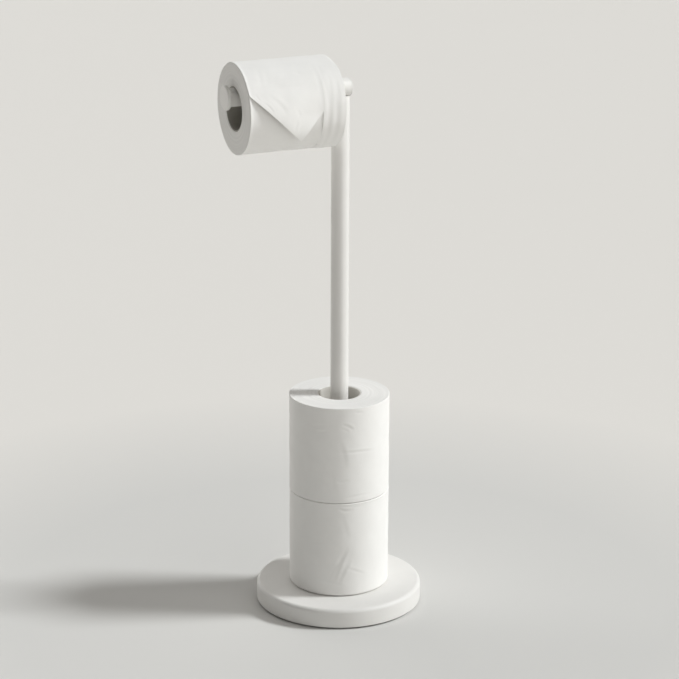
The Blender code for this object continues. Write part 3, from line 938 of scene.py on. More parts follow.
@dataclass(frozen=True)
class CardFinish(Finish):
    """Card wound in a spiral, with flecks, a butt line between the strips and plies at its ends.

    The butt line's width is a share of the strip's. Tones are factors of the main colour, and strengths
    are shares of full effect.
    """

    strip: float = 58.0 * MM
    line_share: float = 0.006
    line_tone: float = 0.6
    line_strength: float = 0.5
    ply: float = 0.348 * MM
    ply_strength: float = 0.8
    fleck: float = 1.3 * MM
    fleck_range: tuple[float, float] = (0.78, 0.95)
    fleck_tone: float = 0.75
    fleck_strength: float = 0.35
    cloud: float = 18.0 * MM
    tone_change: float = 0.94
    specular: float = 0.25
    grain_strength: float = 0.25
    relief: float = 0.05 * MM

    def make(self) -> bpy.types.Material:
        """Builds the material."""
        bench, shader, place = self.start()
        spot = place.outputs["Object"]
        grain = bench.group(Effects.grain(), place=spot, size=self.fleck, cloud=self.cloud)
        turns = bench.group(Effects.turns(), place=spot, facing=place.outputs["Normal"], turn=self.ply)
        parts = bench.add("ShaderNodeSeparateXYZ")
        bench.feed(parts.inputs[0], spot)
        angle = bench.sum("ARCTAN2", parts.outputs[1], parts.outputs[0])
        around = bench.sum("DIVIDE", angle, math.tau)
        up = bench.sum("DIVIDE", parts.outputs[2], self.strip)
        wound = bench.sum("FRACT", bench.sum("ADD", around, up))
        from_butt = bench.sum("ABSOLUTE", bench.sum("SUBTRACT", wound, 0.5))
        butt = bench.span(from_butt, self.line_share, self.line_share * 2, 1.0, 0.0)
        flecks = bench.span(grain.outputs["Height"], *self.fleck_range, 0.0, self.fleck_strength)
        tone = bench.blend(grain.outputs["Tone"], shade(self.colour), shade(self.colour, self.tone_change))
        flecked = bench.blend(flecks, tone, shade(self.colour, self.fleck_tone))
        line = bench.sum("MULTIPLY", butt, self.line_strength)
        lined = bench.blend(line, flecked, shade(self.colour, self.line_tone))
        self.dress(bench, shader, lined, grain.outputs["Tone"])
        flat = bench.sum("MULTIPLY", grain.outputs["Height"], self.grain_strength)
        plies = bench.sum("MULTIPLY", turns.outputs["Height"], self.ply_strength)
        height = bench.sum("ADD", bench.sum("SUBTRACT", flat, butt), plies)
        raise_bump(bench, shader, height, self.relief)
        return bpy.data.materials[self.name]


@dataclass(frozen=True)
class FloorFinish(Finish):
    """A plain studio floor, a little paler away from the middle."""

    far_colour: Colour = (1.0, 1.0, 1.0)
    near_reach: float = 340.0 * MM
    far_reach: float = 620.0 * MM
    grain: float = 1.5 * MM
    cloud: float = 400.0 * MM
    specular: float = 0.2
    relief: float = 0.004 * MM

    def make(self) -> bpy.types.Material:
        """Builds the material."""
        bench, shader, place = self.start()
        spot = place.outputs["Object"]
        grain = bench.group(Effects.grain(), place=spot, size=self.grain, cloud=self.cloud)
        distance = bench.add("ShaderNodeVectorMath", operation="LENGTH")
        bench.feed(distance.inputs[0], spot)
        away = bench.span(distance.outputs["Value"], self.near_reach, self.far_reach)
        tone = bench.blend(away, shade(self.colour), shade(self.far_colour))
        self.dress(bench, shader, tone, grain.outputs["Tone"])
        raise_bump(bench, shader, grain.outputs["Height"], self.relief)
        return bpy.data.materials[self.name]


@dataclass(frozen=True)
class FoamFinish(Finish):
    """Dark closed-cell foam with small round cells, painted darker in their pits as shade."""

    cell: float = 0.5 * MM
    cell_reach: float = 0.6
    pit_shade_tone: float = 0.55
    grain: float = 2.0 * MM
    cloud: float = 15.0 * MM
    tone_change: float = 1.5
    specular: float = 0.3
    relief: float = 0.15 * MM

    def make(self) -> bpy.types.Material:
        """Builds the material."""
        bench, shader, place = self.start()
        spot = place.outputs["Object"]
        cells = bench.add("ShaderNodeTexVoronoi")
        bench.feed(cells.inputs["Vector"], spot)
        cells.inputs["Scale"].default_value = 1.0 / self.cell
        depth = bench.span(cells.outputs["Distance"], 0.0, self.cell_reach)
        grain = bench.group(Effects.grain(), place=spot, size=self.grain, cloud=self.cloud)
        tone = bench.blend(grain.outputs["Tone"], shade(self.colour), shade(self.colour, self.tone_change))
        # Painted shade in the cells' pits
        pitted = bench.blend(depth, shade(self.colour, self.pit_shade_tone), tone)
        bench.feed(shader.inputs["Base Color"], pitted)
        bench.feed(shader.inputs["Roughness"], bench.span(depth, 0.0, 1.0, 1.0, self.roughness))
        shader.inputs["Specular IOR Level"].default_value = self.specular
        raise_bump(bench, shader, depth, self.relief)
        return bpy.data.materials[self.name]


PAINT = GrainedFinish("matt_white_powder_coat", (0.82, 0.81, 0.785), roughness=0.5, grain=1.1 * MM)
ZINC = GrainedFinish(
    "zinc_plated_steel", (0.70, 0.71, 0.72), roughness=0.36, metallic=1.0, grain=0.5 * MM, cloud=5.0 * MM,
    relief=0.006 * MM, tone_change=0.92, rough_change=0.07,
)
IRON = GrainedFinish(
    "cast_ballast_iron", (0.18, 0.18, 0.19), roughness=0.72, metallic=0.6, grain=1.6 * MM, cloud=12.0 * MM,
    relief=0.2 * MM, tone_change=0.75, rough_change=0.1,
)
NYLON = GrainedFinish(
    "moulded_white_nylon", (0.78, 0.77, 0.745), roughness=0.45, grain=0.35 * MM, cloud=9.0 * MM,
    relief=0.008 * MM, rough_change=0.05,
)
FOAM = FoamFinish("dark_foam", (0.055, 0.055, 0.055), roughness=0.9)
TISSUE = TissueFinish("soft_white_tissue", (0.895, 0.888, 0.866), roughness=0.93)
# A copy of the tissue with more painted shade on its end faces, for the hung roll, whose end face is turned
# from the key light
END_SHADED_TISSUE = replace(TISSUE, name="soft_white_tissue_with_painted_end_shade", end_shade_tone=0.89)
PALE_CARD = CardFinish("pale_spiral_wound_card", (0.73, 0.71, 0.665), roughness=0.9)
# A copy of the card painted darker, as the shade inside the hung roll's bore
BORE_SHADED_CARD = replace(PALE_CARD, name="spiral_wound_card_with_painted_bore_shade", colour=(0.42, 0.405, 0.37))


def dress_node(name: str, finish: Finish) -> None:
    """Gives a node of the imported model, which keeps its shape, a finish."""
    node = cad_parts[name]
    if node.material_slots:
        node.material_slots[0].material = finish.material()
    else:
        node.data.materials.append(finish.material())
    log.info("%s keeps its shape, finish %s", name, finish.name)


# The stand


@dataclass
class Base:
    """The weighted base: its pressed cover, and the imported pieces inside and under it."""

    edge_radius: float = 4.0 * MM
    foot_radius: float = 0.7 * MM
    wall: float = 1.6 * MM
    bolt_hole: float = 4.3 * MM
    top_row: float = 6.0 * MM
    edge_steps: int = 14
    inner_steps: int = 8
    foot_steps: int = 4
    screws: int = 3
    columns: int = 256

    def cover_outline(self, radius: float, height: float) -> Outline:
        """Section of the pressed cover.

        Args:
            radius: the base's radius.
            height: the cover's height.

        Returns:
            The section, up the outside, in over the top, and out again underneath.
        """
        edge, foot, wall = self.edge_radius, self.foot_radius, self.wall
        centre = (radius - edge, height - edge)
        points = arc((radius - foot, foot), foot, Quarter.LOW_OUTER, self.foot_steps)
        points += arc(centre, edge, Quarter.HIGH_OUTER, self.edge_steps)
        points += run((radius - edge, height), (self.bolt_hole, height), self.top_row)
        points += [(self.bolt_hole, height), (self.bolt_hole, height - wall)]
        points += arc(centre, edge - wall, Quarter.UNDER_HIGH_OUTER, self.inner_steps)
        points += [(radius - wall, 0.0)]
        return points

    def build(self) -> None:
        """Makes the cover and dresses what it hides."""
        low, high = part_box("base_cover")
        outline = self.cover_outline(high.x, high.z - low.z)
        cover = turned("cover_pressing", outline, even_angles(self.columns))
        place = (0.0, 0.0, low.z)
        settle(cover, place, Lay.UPRIGHT, PAINT.material(), Slot.PAINT, Body.STAND, "base_cover")
        dress_node("base_pad", FOAM)
        dress_node("base_weight", IRON)
        hidden = ["base_plate", "post_bolt", "post_bolt_spring_washer", "post_bolt_washer"]
        for name in hidden + [f"base_plate_screw_{number + 1}" for number in range(self.screws)]:
            dress_node(name, ZINC)


@dataclass
class Upright:
    """The upright tube, with the insert in its foot and the bush in its top."""

    wall: float = 1.33 * MM
    rim: float = 0.35 * MM
    rim_steps: int = 3
    side_row: float = 25.0 * MM
    rise: float = 1.7 * MM
    arm_gap: float = 0.3 * MM
    cut_zone: float = 1.0 * MM
    bush_bore: float = 5.56 * MM
    bush_flat: float = 4.26 * MM
    bush_edge: float = 0.2 * MM
    bush_steps: int = 2
    flat_least_sine: float = 0.1
    columns: int = 128

    def tube_outline(self, radius: float, length: float) -> Outline:
        """Section of a tube with softly broken rims.

        Args:
            radius: the tube's radius.
            length: its length.

        Returns:
            The section, up the outside and down the bore.
        """
        rim = self.rim
        points = arc((radius - rim, rim), rim, Quarter.LOW_OUTER, self.rim_steps)
        points += run((radius, rim), (radius, length - rim), self.side_row)
        points += arc((radius - rim, length - rim), rim, Quarter.HIGH_OUTER, self.rim_steps)
        points += [(radius - self.wall, length), (radius - self.wall, 0.0)]
        return points

    def build(self) -> None:
        """Makes the tube, which stands on the cover, and dresses what is in it."""
        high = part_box("post_tube")[1]
        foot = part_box("base_cover")[1].z
        top = high.z + self.rise
        outline = self.tube_outline(high.x, top - foot)

        def cradle(angle: np.ndarray, radius: np.ndarray, height: np.ndarray) -> Bent:
            """Cuts the tube's top to the arm that lies across it."""
            return radius, self.cut_to_arm(angle, radius, height, foot)

        tube = turned("upright_tube", outline, even_angles(self.columns), cradle)
        settle(tube, (0.0, 0.0, foot), Lay.UPRIGHT, PAINT.material(), Slot.PAINT, Body.STAND, "post_tube")
        dress_node("post_foot_insert", ZINC)
        self.add_bush(top)

    def cut_to_arm(
        self, angle: np.ndarray, radius: np.ndarray, height: np.ndarray, foot: float
    ) -> np.ndarray:
        """Lowers a turned piece's top to just under the arm that lies across it.

        Args:
            angle: angle of every point.
            radius: its radius.
            height: its height.
            foot: how high above the floor the piece starts.

        Returns:
            Its new height.
        """
        low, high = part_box("arm_tube")
        reach = (high.z - low.z) / 2 + self.arm_gap
        under = np.sqrt(np.maximum(reach**2 - (radius * np.sin(angle)) ** 2, 0.0))
        top = float(height.max())
        drop = np.maximum(foot + top - (low.z + high.z) / 2 + under, 0.0)
        return height - drop * (height > top - self.cut_zone)

    def add_bush(self, top: float) -> None:
        """Makes the bush that the arm's pin drops into, flush with the tube's top."""
        low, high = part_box("post_top_bush")
        outer, foot, edge = (high.x - low.x) / 2, low.z, self.bush_edge
        length = top - foot

        def bend(angle: np.ndarray, radius: np.ndarray, height: np.ndarray) -> Bent:
            """Gives the bore its flat side, which keeps the pin from turning, and cuts the top to the arm."""
            reach = self.bush_flat / np.maximum(np.sin(angle), self.flat_least_sine)
            bore = radius < self.bush_bore + 2 * edge
            flat = np.where(bore & (reach < radius), reach, radius)
            return flat, self.cut_to_arm(angle, flat, height, foot)

        points = [(self.bush_bore + edge, 0.0), (outer - edge, 0.0)]
        points += arc((outer - edge, edge), edge, Quarter.LOW_OUTER, self.bush_steps)[1:]
        points += [(outer, length), (self.bush_bore + edge, length)]
        points += [(self.bush_bore, length - edge), (self.bush_bore, edge)]
        corners = np.arcsin(self.bush_flat / self.bush_bore)
        angles = np.sort(np.append(even_angles(self.columns), [corners, math.pi - corners]))
        bush = turned("upright_top_bush", points, angles, bend)
        place = (0.0, 0.0, foot)
        settle(bush, place, Lay.UPRIGHT, NYLON.material(), Slot.NYLON, Body.STAND, "post_top_bush")


# The arm


@dataclass
class Arm:
    """The lift-off arm: tube, block in its rear end, cap on its free end, and the pin under it."""

    tube: Upright = field(default_factory=Upright)
    block_rim: float = 1.2 * MM
    block_edge: float = 0.6 * MM
    block_length: float = 24.0 * MM
    block_steps: int = 6
    plug_radius: float = 7.65 * MM
    cap_edge: float = 1.3 * MM
    cap_steps: int = 8
    cap_row: float = 3.0 * MM
    stud_radius: float = 3.0 * MM
    columns: int = 128

    def cap_outline(self, radius: float, thickness: float, stud: float) -> Outline:
        """Section of the cap and its stud.

        Args:
            radius: the cap's radius.
            thickness: how far the cap stands out.
            stud: the stud's length.

        Returns:
            The section from the stud's end to the cap's face.
        """
        edge, steps = self.cap_edge, self.cap_steps
        points = [(0.0, -stud), (self.stud_radius, -stud), (self.stud_radius, 0.0)]
        points += arc((radius - edge, edge), edge, Quarter.LOW_OUTER, steps)
        points += arc((radius - edge, thickness - edge), edge, Quarter.HIGH_OUTER, steps)
        points += [*run((radius - edge, thickness), (0.0, thickness), self.cap_row), (0.0, thickness)]
        return points

    def block_outline(self, radius: float) -> Outline:
        """Section of the turned block, whose rim closes the tube."""
        edge = self.block_edge
        points = [(0.0, 0.0)]
        points += arc((radius - edge, edge), edge, Quarter.LOW_OUTER, self.block_steps)
        points += [(radius, self.block_rim), (self.plug_radius, self.block_rim)]
        points += [(self.plug_radius, self.block_length), (0.0, self.block_length)]
        return points

    def build(self) -> None:
        """Makes the arm's visible pieces and dresses the rest."""
        paint, lay, body = PAINT.material(), Lay.ALONG_ARM, Body.ARM
        low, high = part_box("arm_tube")
        axis, radius = (low.z + high.z) / 2, (high.z - low.z) / 2
        rear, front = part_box("arm_rear_block")[1].x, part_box("arm_end_cap")[0].x
        tube_rear = rear - self.block_rim
        thickness = low.x - front
        outline = self.tube.tube_outline(radius, tube_rear - low.x)
        tube = turned("arm_crossbar", outline, even_angles(self.columns))
        settle(tube, (tube_rear, 0.0, axis), lay, paint, Slot.PAINT, body, "arm_tube")
        block = turned("arm_tail_block", self.block_outline(radius), even_angles(self.columns))
        settle(block, (rear, 0.0, axis), lay, paint, Slot.PAINT, body, "arm_rear_block")
        cap_low, cap_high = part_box("arm_end_cap")
        stud = cap_high.x - low.x
        outline = self.cap_outline((cap_high.z - cap_low.z) / 2, thickness, stud)
        cap = turned("arm_stop_cap", outline, even_angles(self.columns))
        settle(cap, (low.x, 0.0, axis), lay, paint, Slot.PAINT, body, "arm_end_cap")
        for name in ("arm_spigot", "arm_spigot_screw", "arm_front_plug"):
            dress_node(name, ZINC)


# The rolls


@dataclass
class Roll:
    """One roll: its wound paper and its card core."""

    name: str
    node: str
    body: Body
    lay: Lay
    seed: int
    rims: tuple[float, float]
    creases: list[Crease] = field(default_factory=list)
    tail_deg: float = 60.0
    tissue: TissueFinish = TISSUE
    card: CardFinish = PALE_CARD
    loose: LooseRim = LooseRim()
    swell: float = 0.0
    core_wall: float = 1.0 * MM
    core_edge: float = 0.2 * MM
    core_edge_steps: int = 2
    core_rows: tuple[float, float] = (8.0 * MM, 4.0 * MM)
    core_columns: int = 144
    core_sway: float = 0.04 * MM
    core_sway_count: int = 8
    core_most_round: int = 4
    core_cycles_along: float = 4.0
    core_seed_step: int = 90

    def sizes(self) -> tuple[tuple[float, float, float], float, float]:
        """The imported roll's place, radius and length."""
        low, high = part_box(self.node + "_paper")
        if self.lay is Lay.UPRIGHT:
            return (0.0, 0.0, low.z), high.x, high.z - low.z
        return (high.x, 0.0, (low.z + high.z) / 2), (high.z - low.z) / 2, high.x - low.x

    def core_sizes(self) -> tuple[float, float]:
        """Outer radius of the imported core, and how far it is set in at each end."""
        low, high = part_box(self.node + "_core")
        radius = (high.y - low.y) / 2
        axis = 2 if self.lay is Lay.UPRIGHT else 0
        paper_low, paper_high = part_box(self.node + "_paper")
        return radius, ((paper_high - paper_low)[axis] - (high - low)[axis]) / 2

    def paper(self) -> WoundPaper:
        """The roll's wound paper."""
        _, radius, length = self.sizes()
        bore = self.core_sizes()[0]
        low_rim, high_rim = self.rims
        return WoundPaper(
            radius, length, bore, self.seed, low_rim, high_rim, tail_deg=self.tail_deg, loose=self.loose,
            swell=self.swell, creases=self.creases,
        )

    def bend_core(self, angle: np.ndarray, radius: np.ndarray, height: np.ndarray) -> Bent:
        """Makes a core a little out of round.

        Args:
            angle: angle of every point.
            radius: its radius.
            height: its height.

        Returns:
            Its new radius, and its height.
        """
        waves = SoftWaves(
            self.seed + self.core_seed_step, self.core_sway, self.core_sway_count, self.core_most_round,
            self.core_cycles_along,
        )
        return radius - np.abs(waves.at(angle, height)), height

    def core_outline(self, length: float) -> Outline:
        """Section of the card core, in a roll of some length."""
        outer, inset = self.core_sizes()
        edge, steps = self.core_edge, self.core_edge_steps
        outer_row, inner_row = self.core_rows
        inner, low, high = outer - self.core_wall, inset + edge, length - inset - edge
        points = arc((outer - edge, low), edge, Quarter.LOW_OUTER, steps)
        points += run((outer, low), (outer, high), outer_row)
        points += arc((outer - edge, high), edge, Quarter.HIGH_OUTER, steps)
        points += arc((inner + edge, high), edge, Quarter.HIGH_INNER, steps)
        points += run((inner, high), (inner, low), inner_row)
        points += arc((inner + edge, low), edge, Quarter.LOW_INNER, steps)
        return points

    def build(self) -> None:
        """Makes the roll's paper and core."""
        place, _, length = self.sizes()
        paper = self.paper().build(f"{self.name}_paper")
        settle(paper, place, self.lay, self.tissue.material(), Slot.TISSUE, self.body, self.node + "_paper")
        columns = even_angles(self.core_columns)
        core = turned(f"{self.name}_card", self.core_outline(length), columns, self.bend_core)
        settle(core, place, self.lay, self.card.material(), Slot.CARD, self.body, self.node + "_core")


@dataclass
class TailSheet:
    """The hanging roll's last sheet, folded to a point over the front of the roll.

    Places on it are pairs: distance along the roll from its end near the upright, and distance round
    the roll below its top line, on the side that faces the camera. Both are in metres. Below the notch
    the sheet is slit along the pleat: the flap to the left ends in the point, and the strip to the right
    stays on the roll.
    """

    roll: Roll

    # The sheet and its fold
    start: float = -14.5 * MM
    shoulder: float = 48.0 * MM
    notch: float = 69.0 * MM
    strip_end: float = 134.0 * MM
    tip: tuple[float, float] = (46.4 * MM, 91.5 * MM)
    tip_width: float = 1.4 * MM
    fold_bow: float = 1.6 * MM
    fold_bow_power: float = 0.7
    pleat: float = 22.4 * MM
    pleat_drift: float = 0.3 * MM
    drift_reach: float = 25.0 * MM
    side_inset: float = 0.3 * MM
    overhang: float = 1.3 * MM
    overhang_start: float = 4.0 * MM
    overhang_reach: float = 30.0 * MM
    end_round: float = 0.75
    thickness: float = 0.2 * MM

    # How far it lies off the roll: at its ends, elsewhere, along the fold, and under the fold
    least: float = 0.12 * MM
    rest: float = 0.26 * MM
    start_ease: float = 7.0 * MM
    foot_ease: float = 14.0 * MM
    puff: float = 0.4 * MM
    puff_reach: float = 6.0 * MM
    puff_ease: float = 9.0 * MM
    ply_gap: float = 0.5 * MM
    ply_gap_rate: float = 30.0
    under_least: float = 0.1 * MM

    # How the flap comes off the roll
    tip_lift: float = 8.2 * MM
    lift_power: float = 1.15
    lift_before: float = 6.0 * MM
    freed_before: float = 1.0 * MM
    freed_reach: float = 21.0 * MM
    apart_reach: float = 40.0 * MM

    # The strip beside the flap: what counts as its cut edge, and how that edge curls up and is pressed down
    seam: float = 0.01 * MM
    cut_reach: float = 3.0 * MM
    slit_lift: float = 0.3 * MM
    slit_reach: float = 2.6 * MM
    slit_ease: float = 7.0 * MM
    slit_length: float = 29.0 * MM
    slit_fade: float = 18.0 * MM
    press: float = 0.2 * MM
    press_start: float = 20.0 * MM
    press_ease: float = 8.0 * MM

    # Ridges round the roll in the strip: pairs of a place, in millimetres along the roll, and a level
    ridges: tuple[tuple[float, float], ...] = (
        (-1.9, -0.4), (4.0, 0.9), (8.2, -0.7), (12.4, 1.0), (16.4, -0.8), (20.6, 0.6), (22.4, 0.4),
    )
    ridge_height: float = 0.2 * MM
    ridge_base: float = 0.6
    ridge_floor: float = -0.1 * MM
    ridge_fade: float = 2.0 * MM
    ridge_first: float = 0.1
    ridge_start: float = 38.0 * MM
    ridge_reach: float = 36.0 * MM
    ridge_fall: float = 0.8
    ridge_fall_start: float = 98.0 * MM
    ridge_fall_reach: float = 32.0 * MM
    ridge_points: int = 200

    # The mesh's rows and columns, the powers that crowd them toward the fold, and the sheet's wavy edge
    row: float = 1.4 * MM
    flap_rows: int = 24
    strip_rows: int = 42
    strip_columns: int = 18
    flap_columns: int = 44
    flap_crowding: float = 1.6
    under_columns: int = 18
    under_crowding: float = 1.5
    edge_wave: float = 0.5 * MM
    edge_wave_count: int = 12
    edge_wave_round: int = 9
    edge_seed_step: int = 30

    # Crumpling and creases
    crumple: float = 0.10 * MM
    crumple_floor: float = -0.06 * MM
    crumple_seed_step: int = 20
    creases: tuple[Crease, ...] = (
        Crease((-22.0, 0.238), (-94.0, 0.228), 0.20 * MM, 1.3 * MM, 0.0, 0.7),
        Crease((-20.0, 0.190), (-52.0, 0.205), 0.09 * MM, 1.8 * MM, 0.8 * MM),
        Crease((-40.0, 0.120), (-86.0, 0.150), 0.13 * MM, 1.8 * MM, 0.8 * MM),
        Crease((-50.0, 0.055), (-84.0, 0.060), 0.12 * MM, 1.5 * MM),
        Crease((-64.0, 0.790), (-86.0, 0.625), 0.20 * MM, 2.2 * MM, 1.0 * MM),
        Crease((-72.0, 0.850), (-84.0, 0.765), 0.17 * MM, 1.1 * MM, 1.6 * MM, 0.8),
        Crease((-62.0, 0.930), (-70.0, 0.900), 0.14 * MM, 1.0 * MM, -0.6 * MM),
        Crease((-83.0, 0.520), (-92.0, 0.490), 0.15 * MM, 1.4 * MM),
        Crease((-20.0, 0.820), (-54.0, 0.845), 0.12 * MM, 2.0 * MM, 1.2 * MM),
        Crease((-34.0, 0.450), (-40.0, 0.380), 0.12 * MM, 1.6 * MM),
        Crease((-60.0, 0.560), (-52.0, 0.400), 0.09 * MM, 2.2 * MM, 1.4 * MM),
        Crease((-24.0, 0.620), (-46.0, 0.700), 0.08 * MM, 2.6 * MM, 1.5 * MM),
        Crease((-96.0, 0.520), (-106.0, 0.560), 0.12 * MM, 1.6 * MM),
    )
    flat_area: float = 0.0

    def left_edge(self, below: np.ndarray, length: float) -> np.ndarray:
        """Edge away from the upright: straight to the shoulder, then in to the tip with a little bow."""
        share = np.clip((below - self.shoulder) / (self.tip[1] - self.shoulder), 0.0, 1.0)
        end = length - self.side_inset
        bow = self.fold_bow * np.sin(math.pi * share**self.fold_bow_power)
        return end + (self.tip[0] + self.tip_width / 2 - end) * share + bow

    def right_edge(self, below: np.ndarray) -> np.ndarray:
        """The flap's edge near the upright, from the notch to the tip."""
        share = np.clip((below - self.notch) / (self.tip[1] - self.notch), 0.0, 1.0)
        return self.pleat + (self.tip[0] - self.tip_width / 2 - self.pleat) * share

    def fold_distance(self, along: np.ndarray, below: np.ndarray, length: float) -> np.ndarray:
        """Distance from the folded edge, on the flat sheet, and a long way off above the shoulder."""
        end = length - self.side_inset
        run_along, run_below = self.tip[0] - end, self.tip[1] - self.shoulder
        size = math.hypot(run_along, run_below)
        across = ((along - end) * run_below - (below - self.shoulder) * run_along) / size
        return np.abs(across) + np.clip(self.shoulder - below, 0.0, 1.0)

    def flap_lift(self, along: np.ndarray, below: np.ndarray) -> np.ndarray:
        """How far the flap hangs away from the roll, which is nothing at the strip beside it."""
        start = self.shoulder - self.lift_before
        share = np.clip((below - start) / (self.tip[1] - start), 0.0, 1.0)
        freed = smooth_step((below - self.notch + self.freed_before) / self.freed_reach)
        apart = freed + (1.0 - freed) * smooth_step((along - self.pleat) / self.apart_reach)
        lift = self.tip_lift * share**self.lift_power * apart
        return np.where(self.on_strip(along), 0.0, lift)

    def on_strip(self, along: np.ndarray) -> np.ndarray:
        """Whether a place is to the right of the pleat."""
        return along <= self.pleat + self.seam

    def strip_ridges(self, along: np.ndarray, below: np.ndarray) -> np.ndarray:
        """Ridges round the roll in the strip beside the flap, which die out in the flap."""
        knots = np.array(self.ridges)
        spots = np.linspace(knots[0, 0], knots[-1, 0], self.ridge_points)
        index = np.clip(np.searchsorted(knots[:, 0], spots, side="right") - 1, 0, len(knots) - 2)
        local = smooth_step((spots - knots[index, 0]) / (knots[index + 1, 0] - knots[index, 0]))
        levels = knots[index, 1] + (knots[index + 1, 1] - knots[index, 1]) * local
        beyond = np.exp(-((np.maximum(along - self.pleat, 0.0) / self.ridge_fade) ** 2))
        ridge = (np.interp(along / MM, spots, levels) + self.ridge_base) * beyond
        grown = smooth_step((below - self.ridge_start) / self.ridge_reach)
        fallen = smooth_step((below - self.ridge_fall_start) / self.ridge_fall_reach)
        grown = self.ridge_first + (1.0 - self.ridge_first) * grown
        return self.ridge_height * ridge * grown * (1.0 - self.ridge_fall * fallen)

    def slit_edge(self, along: np.ndarray, below: np.ndarray) -> np.ndarray:
        """How far the strip's cut edge curls up beside the flap, which dies out further round."""
        near = np.exp(-(((self.pleat - along) / self.slit_reach) ** 2)) * self.on_strip(along)
        opened = smooth_step((below - self.notch) / self.slit_ease)
        closed = smooth_step((self.notch + self.slit_length - below) / self.slit_fade)
        return self.slit_lift * near * opened * closed

    def top_offset(self, along: np.ndarray, below: np.ndarray, length: float) -> np.ndarray:
        """How far the upper ply stands off the roll.

        Args:
            along: distance along the roll.
            below: distance round the roll below its top line.
            length: the roll's length.

        Returns:
            The offset in metres.
        """
        from_fold = self.fold_distance(along, below, length) / self.puff_reach
        puffed = self.puff * np.exp(-(from_fold**2)) * smooth_step((below - self.shoulder) / self.puff_ease)
        inside = smooth_step((below - self.start) / self.start_ease)
        inside = inside * smooth_step((self.strip_end - below) / self.foot_ease)
        cut = np.exp(-(((self.pleat - along) / self.cut_reach) ** 2)) * self.on_strip(along)
        cut = cut * (below > self.notch + self.seam)
        pressed = cut * smooth_step((below - self.notch - self.press_start) / self.press_ease)
        offset = self.least + (self.rest - self.least) * inside * (1.0 - cut) + puffed - self.press * pressed
        raised = np.maximum(self.strip_ridges(along, below), self.ridge_floor) + self.slit_edge(along, below)
        return offset + self.flap_lift(along, below) + raised * (1.0 - pressed)

    def placed(self, along: np.ndarray, below: np.ndarray, offset: np.ndarray) -> np.ndarray:
        """Points on or over the roll, in the roll's own frame.

        Args:
            along: distance along the roll.
            below: distance round the roll below its top line.
            offset: how far the point stands off the roll.

        Returns:
            One row of three coordinates for each place.
        """
        paper = self.roll.paper()
        angle = -below / paper.radius
        crumple = Crumple(paper.seed + self.crumple_seed_step, self.crumple)
        own = np.maximum(crumple.at(angle, along, paper.radius), self.crumple_floor)
        for crease in self.creases:
            own = own + crease.at(angle, along, paper.radius, paper.length)
        least = paper.low_rim * (1.0 - self.end_round * (1.0 - self.loose_share(below)))
        radius = paper.side_radius(angle, np.maximum(along, least)) + offset + own
        return np.stack([radius * np.cos(angle), radius * np.sin(angle), along], axis=-1)

    def loose_share(self, below: np.ndarray) -> np.ndarray:
        """How far the strip's edge stands out over the roll's end: not at the top, fully at the front."""
        return smooth_step((below - self.overhang_start) / self.overhang_reach)

    def strip_places(self, below: float, shares: np.ndarray, wavy: SoftWaves) -> np.ndarray:
        """Places across the strip, from its edge over the roll's end to the pleat."""
        edge = wavy.at(np.array(below / self.roll.paper().radius), np.array(0.0))
        reach = (self.overhang + self.side_inset) * self.loose_share(np.array(below))
        edge = edge + self.side_inset - reach
        return edge + (self.pleat - edge) * shares

    def build(self) -> None:
        """Makes the sheet, with its upper ply, the strip beside the flap and the corner folded under."""
        place, _, length = self.roll.sizes()
        upper = np.arange(self.start, self.notch - 0.5 * self.row, self.row)
        upper = np.append(upper, self.notch)
        flap = np.linspace(self.notch, self.tip[1], self.flap_rows)[1:]
        strip = np.linspace(self.notch, self.strip_end, self.strip_rows)[1:]
        near = np.linspace(0.0, 1.0, self.strip_columns + 1)
        far = 1.0 - (1.0 - np.linspace(0.0, 1.0, self.flap_columns + 1)) ** self.flap_crowding
        points: list[np.ndarray] = []
        flats: list[tuple[float, float]] = []
        faces: list[tuple[int, ...]] = []

        def lay_rows(levels: np.ndarray, spots: list[np.ndarray]) -> list[list[int]]:
            """Adds rows of points of the upper ply and gives their numbers."""
            numbers = []
            for level, along in zip(levels, spots):
                below = np.full(along.shape, level)
                points.append(self.placed(along, below, self.top_offset(along, below, length)))
                numbers.append(list(range(len(flats), len(flats) + len(along))))
                flats.extend(zip(along, below))
            return numbers

        def join(rows: list[list[int]]) -> None:
            """Adds the faces between rows of as many points."""
            for first, second in zip(rows, rows[1:]):
                for column in range(len(first) - 1):
                    faces.append((first[column], first[column + 1], second[column + 1], second[column]))

